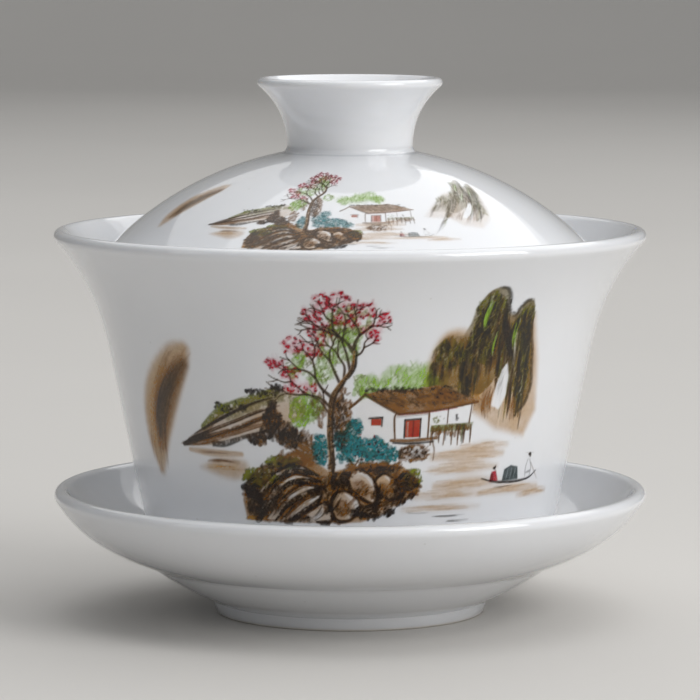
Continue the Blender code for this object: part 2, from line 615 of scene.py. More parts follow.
class Spot:
    """A place on a canvas where a motif is painted, with its own origin and scale."""

    def __init__(
        self, canvas: Canvas, x: float, y: float, scale: float = 1.0, load: float = 1.0, lean: float = 0.0
    ) -> None:
        """Sets the motif's origin.

        Args:
            canvas: The sheet painted on.
            x: Where the motif's own 0 falls, across.
            y: Where the motif's own 0 falls, upward.
            scale: Size of the motif against its own drawing.
            load: How heavily the brush is loaded.
            lean: How far the motif shifts across for each measure upward.
        """
        self.canvas, self.x, self.y = canvas, x, y
        self.scale, self.load, self.lean = scale, load, lean

    def weight(self, ink: Ink | None, strength: float) -> float:
        """A stroke's strength with this brush load; wiping is never weaker."""
        return strength if ink is None else strength * self.load

    def moved(self, points: Points) -> Points:
        """The motif's points on the canvas."""
        return [(self.x + self.scale * (x + self.lean * y), self.y + self.scale * y) for x, y in points]

    def vary(self, least: float, more: float) -> float:
        """A random number: the least it can be, and by chance up to so much more."""
        return least + more * self.canvas.random.random()

    def scatter(self, spread: float) -> float:
        """A random shift of up to a spread either way."""
        return spread * self.vary(-1, 2)

    def brush(
        self, ink: Ink | None, points: Points, widths: tuple[float, ...], strength: float = 0.8,
        soft: float = SOFT_EDGE, dry: float = 0.0,
    ) -> None:
        """One brush stroke along a smooth curve, in the motif's own measure.

        Args:
            ink: The enamel, or None to wipe.
            points: What the curve runs through.
            widths: Widths along the curve, evenly spaced.
            strength: Density at the middle of the stroke.
            soft: Width of the soft edge.
            dry: How much of the stroke the tooth of the surface leaves bare.
        """
        given, sized = np.array(self.moved(points), float), self.scale * np.array(widths, float)
        soft = max(HARDEST_EDGE, self.scale * soft)
        spread = np.interp(np.linspace(0, 1, len(given)), np.linspace(0, 1, len(sized)), sized)
        path = curve_through(np.column_stack([given, spread]))
        window, x, y = self.canvas.cells(path, sized.max() / 2 + soft)
        if not x.size or not y.size:
            return
        start, span, share, away = nearest(path, x, y)
        inside = ((start[:, 2] + share * span[:, 2]) / 2 - away).max(0)
        mask = self.weight(ink, strength) * smooth_step(0.5 + inside / soft)
        if dry:
            mask = mask * smooth_step((self.canvas.tooth[window] - dry + TOOTH_FADE / 2) / TOOTH_FADE)
        self.canvas.put(ink, window, mask)

    def fill(
        self, ink: Ink | None, points: Points, strength: float = 0.8, soft: float = SOFT_EDGE,
        patchy: float = 0.0, round_off: bool = False,
    ) -> None:
        """Fills a closed outline, in the motif's own measure.

        Args:
            ink: The enamel, or None to wipe.
            points: Corners of the outline.
            strength: Density inside.
            soft: Width of the soft edge.
            patchy: How much the density drifts inside, from 0 to 1.
            round_off: Whether the outline is a smooth curve through the points.
        """
        ring = np.array(self.moved([*points, points[0]]), float)
        ring = curve_through(ring) if round_off else ring
        soft = max(HARDEST_EDGE, self.scale * soft)
        window, x, y = self.canvas.cells(ring, soft)
        if not x.size or not y.size:
            return
        start, span, _, away = nearest(ring, x, y)
        low, high = start[:, 1], start[:, 1] + span[:, 1]
        rise = np.where(span[:, 1] == 0, TINY, span[:, 1])
        crossed = ((low > y) != (high > y)) & (x < start[:, 0] + (y - low) / rise * span[:, 0])
        sign = np.where(crossed.sum(0) % 2 == 1, 1.0, -1.0)
        mask = self.weight(ink, strength) * smooth_step(0.5 + sign * away.min(0) / soft)
        mask = mask * (1 - patchy + 2 * patchy * self.canvas.drift[window])
        self.canvas.put(ink, window, np.clip(mask, 0, 1))

    def dabs(
        self, ink: Ink | None, centre: tuple[float, float], reach: tuple[float, float], count: int,
        size: float, strength: float = 0.7, lean: float = 0.0, loose: float = 180.0,
        long: float = 1.0, soft: float = 0.12,
    ) -> None:
        """Many small touches of the brush inside an ellipse, in the motif's own measure.

        Args:
            ink: The enamel, or None to wipe.
            centre: Middle of the ellipse.
            reach: Half width and half height of the ellipse.
            count: Number of touches.
            size: Width of a touch.
            strength: Density of a touch.
            lean: Direction of the touches, in degrees.
            loose: How far a touch may turn from it.
            long: Length of a touch over its width.
            soft: Width of the soft edge, in millimetres.
        """
        plain, middle = Spot(self.canvas, 0, 0), self.moved([centre])[0]
        size, strength = max(FINEST_TOUCH, self.scale * size), self.weight(ink, strength)
        for _ in range(count):
            turn, far = math.tau * self.vary(0, 1), math.sqrt(self.vary(0, 1))
            x = middle[0] + self.scale * reach[0] * far * math.cos(turn)
            y = middle[1] + self.scale * reach[1] * far * math.sin(turn)
            way = math.radians(lean + self.scatter(loose))
            width = size * self.vary(*TOUCH_WIDTH)
            half = width * long / 2
            dx, dy = half * math.cos(way), half * math.sin(way)
            ends, widths = [(x - dx, y - dy), (x + dx, y + dy)], (width, width * TOUCH_TAPER)
            plain.brush(ink, ends, widths, strength * self.vary(*TOUCH_DENSITY), soft)

    def clumps(self, places: tuple, *touches: tuple) -> None:
        """Clumps of touches, one clump after another and one kind of touch after another.

        Args:
            places: For each clump its middle across and upward, its half width, its half height
                and its full number of touches.
            touches: For each kind its ink, what the full number is divided by, its size, its
                strength and, where wanted, its lean, looseness, length and soft edge.
        """
        for x, y, wide, tall, count in places:
            for ink, part, *rest in touches:
                self.dabs(ink, (x, y), (wide, tall), count // part, *rest)

    def streaks(
        self, ink: Ink | None, path: Points, spread: float, count: int, size: float,
        strength: float = 0.5, share: float = 0.4, soft: float = 0.12,
    ) -> None:
        """Fine hairs of the brush that follow a path, each along a part of it.

        Args:
            ink: The enamel, or None to wipe.
            path: The path that the hairs follow.
            spread: How far beside the path a hair may lie.
            count: Number of hairs.
            size: Width of a hair.
            strength: Density of a hair.
            share: Typical share of the path that one hair runs along.
            soft: Width of the soft edge.
        """
        line = curve_through(np.array(path, float))
        for _ in range(count):
            run = max(3, int(len(line) * share * self.vary(*HAIR_LENGTH)))
            first = int(self.vary(0, 1) * max(1, len(line) - run))
            dx, dy = self.scatter(spread), self.scatter(spread * 0.5)
            part = [(x + dx, y + dy) for x, y in line[first : first + run : 2]]
            if len(part) > 1:
                self.brush(ink, part, tuple(size * width for width in HAIR_TAPER), strength, soft)


def far_hill(spot: Spot) -> None:
    """A hill laid down with one slanting, leaf-shaped press of a loaded brush.

    Args:
        spot: Where it is painted.
    """
    body = [(1.0, 2.5), (1.6, 9), (4.8, 16), (10.5, 23), (13.5, 25.8)]
    core = [(2.6, 7), (4.0, 12), (7.6, 18), (12.6, 23.0)]
    spot.brush(OCHRE, body, (2.0, 7.4, 9.4, 6.4, 2.4), 0.66, 2.4)
    spot.brush(OCHRE, [(0.8, 7), (2.2, 13.5), (7.0, 21)], (2.5, 4.2, 2.6), 0.5, 1.8)
    spot.brush(UMBER, core, (2.4, 5.4, 5.8, 2.8), 0.6, 2.0)
    spot.brush(SOOT, [(2.8, 9), (4.4, 14), (8.4, 19.0), (12.6, 22.8)], (1.6, 3.2, 3.2, 1.4), 0.5, 1.8)
    spot.brush(MOSS, [(3.2, 10), (5.4, 15), (9.4, 20)], (1.6, 2.6, 1.6), 0.3, 1.2)
    spot.streaks(SOOT, core, 1.8, 46, 0.4, 0.3, 0.35, 0.4)
    spot.streaks(UMBER, body, 2.8, 50, 0.45, 0.24, 0.3, 0.4)


def islet(spot: Spot) -> None:
    """A low spit of land that comes in from the right and ends in a dark tip.

    Args:
        spot: Where it is painted.
    """
    ridge = [(0, 0), (4.5, 2.6), (8.8, 6.2), (13, 7.8), (17, 9.6), (20.5, 10.8), (24, 10.4)]
    lower = [(0, 0), (6, 1.0), (12, 3.0), (18, 4.9), (23, 5.6)]
    spot.fill(OCHRE, [*ridge, (25, 6), (14, 2.0), (6, 0.2)], 0.34, 0.8, 0.5, True)
    spot.fill(UMBER, [(0, 0), (5, 3.0), (9, 5.4), (6.5, 2.2), (9, 0.9), (5, 0.2)], 0.55, 0.4, 0.4)
    crest = [(5.5, 3.4), (9.4, 6.4), (13, 7.9), (17, 9.3), (20.5, 10.4)]
    spot.brush(MOSS, crest, (1.2, 1.6, 1.3, 1.2), 0.75, 0.4, 0.3)
    spot.brush(MOSS, [(11, 5.2), (15, 7.0), (20, 9.0), (23.4, 9.6)], (0.8, 1.4, 1.6, 1.2), 0.5, 0.7, 0.3)
    spot.dabs(SOOT, (11.6, 7.3), (3.6, 0.9), 34, 0.42, 0.75, 25)
    spot.dabs(SOOT, (18.2, 10.1), (3.2, 0.6), 34, 0.42, 0.75, 15)
    spot.dabs(SOOT, (20.6, 10.9), (1.2, 0.5), 14, 0.5, 0.8)
    spot.dabs(MOSS, (10.2, 6.9), (1.6, 0.7), 14, 0.5, 0.8)
    for rise, width, strength in ((0.0, 0.9, 0.8), (1.3, 0.55, 0.6), (2.9, 0.5, 0.5)):
        foot = [(1.5, 0.5 + rise * 0.2), (6, 1.7 + rise * 0.6)]
        line = [*foot, (12, 3.4 + rise), (17, 5.4 + rise), (21, 6.6 + rise)]
        spot.brush(UMBER, line, (0.3, width, width, width * 0.4), strength, 0.3, 0.22)
        spot.streaks(SOOT, line, 0.5, 22, 0.22, 0.6, 0.3)
    spot.brush(SOOT, [(7.2, 0.5), (10, 0.8), (14, 2.2), (18, 3.4)], (0.9, 1.1, 0.7, 0.3), 0.7, 0.35, 0.3)
    spot.brush(SOOT, [(0, 0), (3.4, 1.2), (6.4, 2.6)], (0.7, 1.3, 0.5), 0.85, 0.3)
    spot.streaks(UMBER, lower, 0.9, 40, 0.25, 0.5, 0.3)
    spot.brush(OCHRE, [(1.4, -0.8), (6, -1.0), (13, -0.9)], (0.7, 1.3, 0.8), 0.5, 0.6)
    spot.streaks(UMBER, [(1.5, -0.8), (7, -0.9), (13, -0.8)], 0.5, 12, 0.2, 0.25, 0.4)


def sand_bar(spot: Spot) -> None:
    """A small ochre wash lying in the water.

    Args:
        spot: Where it is painted.
    """
    spot.fill(OCHRE, [(-5.5, -0.4), (-1, 1.5), (4.4, 1.3), (4.6, -0.6), (1.5, -2.0)], 0.5, 1.8, 0.3, True)
    spot.streaks(UMBER, [(-3.2, 0.9), (0.5, 1.2), (4.2, 0.9)], 0.5, 16, 0.35, 0.32, 0.4, 0.4)
    spot.streaks(OCHRE, [(-3, -0.2), (1, 0.1), (4.4, 0)], 0.9, 22, 0.3, 0.35, 0.4, 0.3)


def scrub(spot: Spot) -> None:
    """A clump of dark, wind-bent scrub with a pointed top.

    Args:
        spot: Where it is painted.
    """
    places = (
        (4.0, 6.6, 0.9, 1.1, 26), (3.9, 4.6, 1.8, 1.4, 60), (5.0, 2.6, 3.4, 1.6, 110),
        (1.0, 0.9, 1.8, 0.8, 44), (7.4, 1.2, 2.6, 1.4, 70),
    )
    spot.clumps(places, (UMBER, 2, 0.7, 0.55), (SOOT, 1, 0.42, 0.62, 60, 50, 1.8))
    spot.streaks(UMBER, [(6, 1.4), (9, -0.2), (12, -2.4)], 1.5, 40, 0.26, 0.6, 0.5)


def rock(spot: Spot, outline: Points, ochre: float) -> None:
    """A weathered boulder: dark below, warm inside, with a pale crescent on its sunny side.

    Args:
        spot: Where it is painted.
        outline: Outline of the boulder, clockwise from its left foot.
        ochre: Density of the warm wash.
    """
    spot.fill(None, outline, 0.95, 0.3)
    spot.fill(OCHRE, outline, ochre, 0.4, 0.6)
    middle_x, middle_y = (sum(point[side] for point in outline) / len(outline) for side in (0, 1))
    inner = [(0.55 * x + 0.45 * middle_x - 0.5, 0.55 * y + 0.45 * middle_y - 0.3) for x, y in outline]
    spot.fill(UMBER, inner, 0.45, 0.7, 0.7, True)
    crescent = [(0.8 * x + 0.2 * middle_x, 0.8 * y + 0.2 * middle_y) for x, y in outline[2:6]]
    spot.brush(None, crescent, (0.3, 0.9, 0.8, 0.3), 0.7, 0.35)
    spot.dabs(UMBER, (middle_x - 0.6, middle_y - 0.2), (1.3, 1.2), 16, 0.34, 0.5, 60, 50, 2.2)
    spot.dabs(SOOT, (middle_x - 0.4, middle_y - 0.8), (1.4, 0.8), 12, 0.26, 0.6, 50, 40, 2.4)
    ring = [*outline, outline[0]]
    spot.brush(SOOT, ring, (0.75, 0.4, 0.3, 0.5, 0.8), 0.85, 0.25, 0.3)
    spot.brush(UMBER, ring, (0.9, 0.6, 0.5, 0.7, 0.9), 0.5, 0.3, 0.2)


def rock_island(spot: Spot) -> None:
    """The island in front: a mossy dome and a fan of weathered slabs below the tree.

    Args:
        spot: Where it is painted.
    """
    outline = [
        (-17, 0), (-17.4, 3.4), (-16.4, 6.6), (-13.6, 9.2), (-9.6, 11), (-6, 12.4), (-3, 10.6), (0, 8.8),
        (4, 9.8), (9, 10.5), (13, 9.7), (16, 7.3), (16.5, 5.2), (13.4, 3.9), (10, 1.7), (5.4, 0.1), (3, 0),
    ]
    spot.fill(OCHRE, outline, 0.6, 0.5, 0.4)
    spot.fill(UMBER, outline, 0.3, 0.5, 0.8)
    for x, y, wide, tall, brown, black in (
        (-9, 5, 8.0, 5.0, 140, 105), (7, 6, 8.0, 4.0, 113, 85), (-1, 2, 6, 2.0, 40, 30),
    ):
        spot.dabs(UMBER, (x, y), (wide, tall), brown, 0.7, 0.5, 35, 50, 2.0)
        spot.dabs(SOOT, (x, y), (wide, tall), black, 0.7, 0.55, 35, 50, 2.0)
    fan = (
        [(-2.4, 8.2), (-6.4, 10.2), (-10.4, 8.4), (-14.6, 4.4), (-13.4, 4.9), (-8.8, 8.3), (-5.4, 8.9)],
        [(-2.0, 7.2), (-6.4, 8.6), (-10.4, 6.4), (-14.4, 1.4), (-12.8, 1.9), (-8.6, 6.2), (-5.4, 7.2)],
        [(-1.8, 6.2), (-5.4, 6.6), (-9.4, 4.0), (-12.8, 0.3), (-11.0, 0.2), (-8.0, 3.2), (-4.6, 5.0)],
        [(-1.6, 5.0), (-4.6, 4.4), (-7.6, 2.3), (-10.0, 0.2), (-7.8, 0.2), (-5.4, 1.9), (-3.2, 3.1)],
        [(-1.2, 3.7), (-3.2, 2.7), (-5.6, 1.2), (-7.0, 0.1), (-3.0, 0.1), (-0.4, 0.3), (0.2, 2.0)],
    )
    for slab in fan:
        spot.fill(None, slab, 0.92, 0.3, 0.2)
        spot.fill(OCHRE, slab, 0.3, 0.4, 0.7)
        spine, low_edge = slab[:4], [slab[0], *slab[:3:-1]]
        middle = [((x + p) / 2, (y + q) / 2) for (x, y), (p, q) in zip(spine, low_edge)]
        spot.streaks(UMBER, spine, 0.7, 34, 0.24, 0.6, 0.3)
        spot.streaks(SOOT, middle, 0.8, 26, 0.2, 0.6, 0.25)
        spot.streaks(None, middle, 0.35, 7, 0.26, 0.6, 0.4)
        spot.brush(SOOT, low_edge, (0.35, 1.0, 0.8, 0.35), 0.92, 0.2, 0.3)
        spot.brush(SOOT, spine, (0.2, 0.5, 0.35, 0.15), 0.75, 0.2, 0.3)
    for boulder, ochre in (
        ([(-0.2, 2.2), (0.4, 4.9), (2.6, 5.6), (4.9, 4.0), (5.2, 2.2), (3.4, 0.5), (1.0, 0.4)], 0.42),
        ([(3.6, 5.6), (3.0, 8.0), (4.8, 9.4), (7.0, 8.4), (8.8, 5.4), (7.9, 3.4), (6.2, 3.9)], 0.5),
        ([(8.6, 5.4), (8.0, 7.4), (9.7, 8.6), (11.7, 7.3), (12.8, 4.8), (11.4, 3.9), (10.2, 4.3)], 0.5),
    ):
        rock(spot, boulder, ochre)
    for gap in ([(-0.6, 1.6), (1.6, 5.0), (3.2, 9.0)], [(5.0, 1.6), (8.2, 3.4), (8.6, 8.0)]):
        spot.streaks(SOOT, gap, 1.0, 26, 0.3, 0.7, 0.35)
    spot.streaks(UMBER, [(2.0, 1.6), (5.6, 5.0), (10.4, 6.0)], 1.6, 40, 0.26, 0.5, 0.25)
    for ink, centre, reach, count, size in (
        (SOOT, (-14.6, 2.6), (2.2, 2.6), 80, 0.6), (SOOT, (-15.0, 5.0), (1.8, 1.6), 36, 0.5),
        (UMBER, (-6, 11.2), (4.0, 1.2), 60, 0.6), (MOSS, (-13.4, 7.6), (3.4, 1.6), 130, 0.55),
        (MOSS, (-8.8, 10.4), (3.4, 0.9), 80, 0.5), (SOOT, (-9.4, 9.7), (4.0, 0.6), 40, 0.4),
        (UMBER, (13.6, 6.6), (2.8, 2.6), 90, 0.6), (SOOT, (13.8, 6.2), (2.6, 2.4), 90, 0.45),
        (MOSS, (14.8, 7.6), (1.8, 1.7), 70, 0.45), (SOOT, (7.8, 1.9), (4.4, 1.1), 110, 0.5),
        (UMBER, (8, 9.8), (4.8, 0.9), 90, 0.5), (SOOT, (9, 9.3), (4.0, 0.6), 46, 0.4),
        (SOOT, (1.8, 7.6), (2.4, 1.3), 50, 0.5),
    ):
        spot.dabs(ink, centre, reach, count, size, 0.62, 30, 60, 1.5)
    crevices = (
        (-10.6, 4.0, 2.2, 2.8, 70), (-1.6, 6.6, 1.6, 1.6, 46), (-0.6, 3.2, 0.9, 1.9, 30),
        (6.4, 1.9, 2.4, 1.0, 60), (8.4, 4.6, 0.8, 2.0, 34), (12.2, 3.9, 1.6, 0.9, 40),
        (-7.0, 0.7, 3.0, 0.6, 40),
    )
    spot.clumps(crevices, (SOOT, 1, 0.36, 0.6, 40, 50, 1.7), (UMBER, 2, 0.4, 0.5, 40, 50, 1.7))
    spot.dabs(OCHRE, (-8.4, 5.6), (5.0, 3.6), 60, 0.5, 0.4, 35, 30, 2.0)
    spot.dabs(None, (-12.8, 8.3), (3.0, 0.9), 30, 0.26, 0.6)
    spot.dabs(None, (8.4, 2.2), (3.6, 0.8), 14, 0.3, 0.5, 20, 30, 2.0)
    spot.dabs(MOSS, (-13.6, 7.9), (3.2, 1.4), 50, 0.4, 0.5)
    spot.streaks(OCHRE, [(-16.8, 0.4), (-15.2, 0.5), (-13.6, 0.6)], 0.6, 12, 0.6, 0.5, 0.8)


# How a branch grows: how far it bows, where its forks turn and how much that wavers, how much
# shorter and thinner they are, and the width below which it forks no more
BRANCH_BOW = 0.16
FORK_TURNS, FORK_WOBBLE = (26, -24), 12
FORK_LENGTH, FORK_WIDTH = 0.72, 0.68
FINEST_TWIG = 0.16


def twigs(spot: Spot, x: float, y: float, deg: float, length: float, width: float) -> None:
    """A branch that forks again and again.

    Args:
        spot: The tree's place.
        x: Where the branch starts, across.
        y: Where it starts, upward.
        deg: Its direction.
        length: Its length up to the next fork.
        width: Its width at the start.
    """
    way = math.radians(deg)
    bow = spot.scatter(BRANCH_BOW) * length
    across, upward = math.cos(way), math.sin(way)
    middle = (x + length / 2 * across - bow * upward, y + length / 2 * upward + bow * across)
    end = (x + length * across, y + length * upward)
    spot.brush(SOOT, [(x, y), middle, end], (width, width * 0.65), 0.72, 0.14)
    spot.brush(UMBER, [(x, y), middle, end], (width * 1.3, width * 0.9), 0.5, 0.2)
    if width > FINEST_TWIG:
        for turn in [side + spot.scatter(FORK_WOBBLE) for side in FORK_TURNS]:
            twigs(spot, end[0], end[1], deg + turn, length * FORK_LENGTH, width * FORK_WIDTH)


def blossoming_tree(spot: Spot) -> None:
    """A crooked tree in blossom, its roots on the island.

    Args:
        spot: Where it is painted.
    """
    trunk = [(-0.5, -0.4), (-0.1, 4), (-0.3, 9), (0.1, 14.6), (1.5, 17.4), (3.5, 20.2), (3.9, 23.2)]
    clusters = (
        (0.4, 32.0, 3.0, 1.7), (-2.6, 29.6, 1.8, 1.5), (5.0, 30.4, 2.6, 1.5), (8.6, 28.9, 1.0, 1.0),
        (6.6, 26.6, 1.6, 1.8), (-1.4, 26.6, 2.2, 1.6), (-2.6, 23.6, 2.2, 1.2), (-6.0, 24.2, 2.0, 1.5),
        (-9.2, 21.0, 1.6, 1.3), (-6.8, 19.4, 1.7, 1.3), (-5.0, 17.0, 3.2, 1.0), (2.6, 28.6, 2.4, 1.2),
    )
    for x, y, wide, tall in clusters:
        spot.dabs(ROSE, (x, y), (wide, tall), int(8 * wide * tall), 0.7, 0.13, soft=0.45)
    leaves = (
        (1.6, 24.8, 3.4, 3.6, 130), (-3.0, 20.6, 4.2, 3.0, 130), (-4.2, 13.6, 2.6, 2.4, 120),
        (3.0, 28.5, 3.6, 2.4, 70), (5.4, 17.4, 2.0, 1.8, 40),
    )
    spot.clumps(leaves, (LEAF, 2, 0.62, 0.42, 70, 60, 1.4, 0.25), (MOSS, 2, 0.3, 0.5, 70, 60, 2.2))
    spot.dabs(LEAF, (-5.2, 12.6), (2.2, 2.6), 70, 0.5, 0.5, 80, 50, 1.5)
    spot.dabs(UMBER, (2.0, 12.0), (1.6, 5.0), 150, 0.45, 0.55, 80, 50, 1.6)
    spot.dabs(SOOT, (1.6, 11.0), (1.1, 5.0), 80, 0.34, 0.6, 80, 50, 1.6)
    spot.dabs(UMBER, (-2.2, 13.2), (1.3, 3.4), 70, 0.35, 0.45, 100, 40, 1.8)
    spot.dabs(UMBER, (-4.6, 7.2), (1.4, 2.6), 60, 0.4, 0.5, 60, 40, 2.0)
    branches = (
        (0.0, 15.4, 128, 4.2, 0.5), (-0.1, 13.6, 152, 4.6, 0.42), (1.4, 18.0, 112, 4.0, 0.42),
        (3.8, 23.0, 130, 3.8, 0.6), (3.9, 23.2, 74, 3.0, 0.55), (2.2, 18.8, 104, 3.6, 0.36),
        (0.2, 11.4, 120, 3.0, 0.34), (3.2, 20.0, 104, 5.0, 0.42), (3.9, 22.4, 44, 2.2, 0.34),
    )
    for x, y, deg, length, width in branches:
        twigs(spot, x, y, deg, length, width)
    spot.brush(None, trunk, (1.3, 1.0, 0.9, 0.9, 0.6, 0.5), 0.7, 0.2)
    spot.brush(OCHRE, trunk, (1.3, 1.1, 1.0, 0.9, 0.6, 0.5), 0.7, 0.2)
    spot.brush(UMBER, [(x + 0.1, y) for x, y in trunk], (1.2, 0.9, 0.8, 0.8, 0.6, 0.5), 0.55, 0.2, 0.3)
    spot.brush(SOOT, [(x + 0.4, y) for x, y in trunk], (0.5, 0.4, 0.45, 0.5, 0.45, 0.4), 0.85, 0.2, 0.2)
    spot.dabs(SOOT, (0, 7), (0.7, 7.5), 60, 0.3, 0.7, 80, 60, 1.6)
    spot.dabs(None, (-0.3, 7), (0.4, 6.5), 16, 0.24, 0.4, 80, 60, 1.6)
    spot.streaks(SOOT, trunk, 0.4, 40, 0.16, 0.6, 0.2)
    for root in ([(0, 1.5), (-0.8, 0.2), (-2.2, -0.8)], [(0.2, 1.4), (0.9, 0.1), (2.2, -0.6)]):
        spot.brush(UMBER, root, (0.8, 0.6, 0.2), 0.7, 0.18)
        spot.brush(SOOT, root, (0.25, 0.3, 0.15), 0.7, 0.15)
    for x, y, wide, tall in clusters:
        blossoms(spot, (x, y), (wide, tall), int(5.2 * wide * tall) + 4)


# Share of the blossoms that have a dark heart
DARK_HEARTS = 0.55


def blossoms(spot: Spot, centre: tuple[float, float], reach: tuple[float, float], count: int) -> None:
    """Red blossoms, each a few petals round a dark heart.

    Args:
        spot: The tree's place.
        centre: Middle of the cluster.
        reach: Half width and half height of the cluster.
        count: Number of blossoms.
    """
    for _ in range(count):
        turn, far = math.tau * spot.vary(0, 1), math.sqrt(spot.vary(0, 1))
        x, y = centre[0] + reach[0] * far * math.cos(turn), centre[1] + reach[1] * far * math.sin(turn)
        spot.dabs(ROSE, (x, y), (0.36, 0.36), 3, 0.42, 0.42, soft=0.24)
        spot.dabs(CRIMSON, (x, y), (0.2, 0.2), 1, 0.34, 0.95, soft=0.12)
        if spot.vary(0, 1) < DARK_HEARTS:
            spot.dabs(SOOT, (x, y), (0.12, 0.12), 1, 0.22, 0.8)


def bamboo(spot: Spot) -> None:
    """A light green grove that shows over the roof.

    Args:
        spot: Where it is painted.
    """
    for x, y, wide, tall in (
        (-3.6, 0.2, 2.4, 1.8), (0.6, 1.6, 2.2, 2.2), (4.0, 2.2, 2.4, 2.4), (6.6, 0.8, 1.6, 1.6),
    ):
        spot.dabs(LEAF, (x, y), (wide, tall), 26, 1.2, 0.18, soft=0.8)
        spot.dabs(LEAF, (x, y), (wide, tall), 34, 0.36, 0.42, 75, 45, 3.4, 0.25)
        spot.dabs(MOSS, (x, y), (wide, tall), 16, 0.22, 0.35, 75, 45, 3.0)


def shrubs(spot: Spot) -> None:
    """Turquoise shrubs with a few red berries at the foot of the cottage.

    Args:
        spot: Where it is painted.
    """
    bushes = (
        (-4.6, 0.4, 1.2, 2.6, 90), (0.2, 1.8, 2.4, 2.0, 120), (1.4, 4.4, 1.3, 1.4, 50),
        (4.6, 0.6, 3.0, 1.7, 120), (7.6, -0.4, 1.6, 1.2, 50), (2.0, -0.6, 3.6, 1.2, 60),
    )
    spot.clumps(
        bushes,
        (TURQUOISE, 2, 0.75, 0.5, 0, 180, 1, 0.3),
        (TURQUOISE, 1, 0.36, 0.7, 45, 180, 1.6),
        (MOSS, 3, 0.3, 0.4),
        (SOOT, 2, 0.26, 0.6),
        (None, 3, 0.24, 0.6),
    )
    spot.dabs(CRIMSON, (3.4, 0.8), (5.0, 2.4), 22, 0.3, 0.85)
    for branch in ([(0.4, -4.4), (1.2, -2.8), (2.2, -1.2)], [(1.3, -2.8), (0.6, -1.4), (0.0, -0.8)]):
        spot.brush(UMBER, branch, (0.5, 0.4, 0.2), 0.85, 0.15)


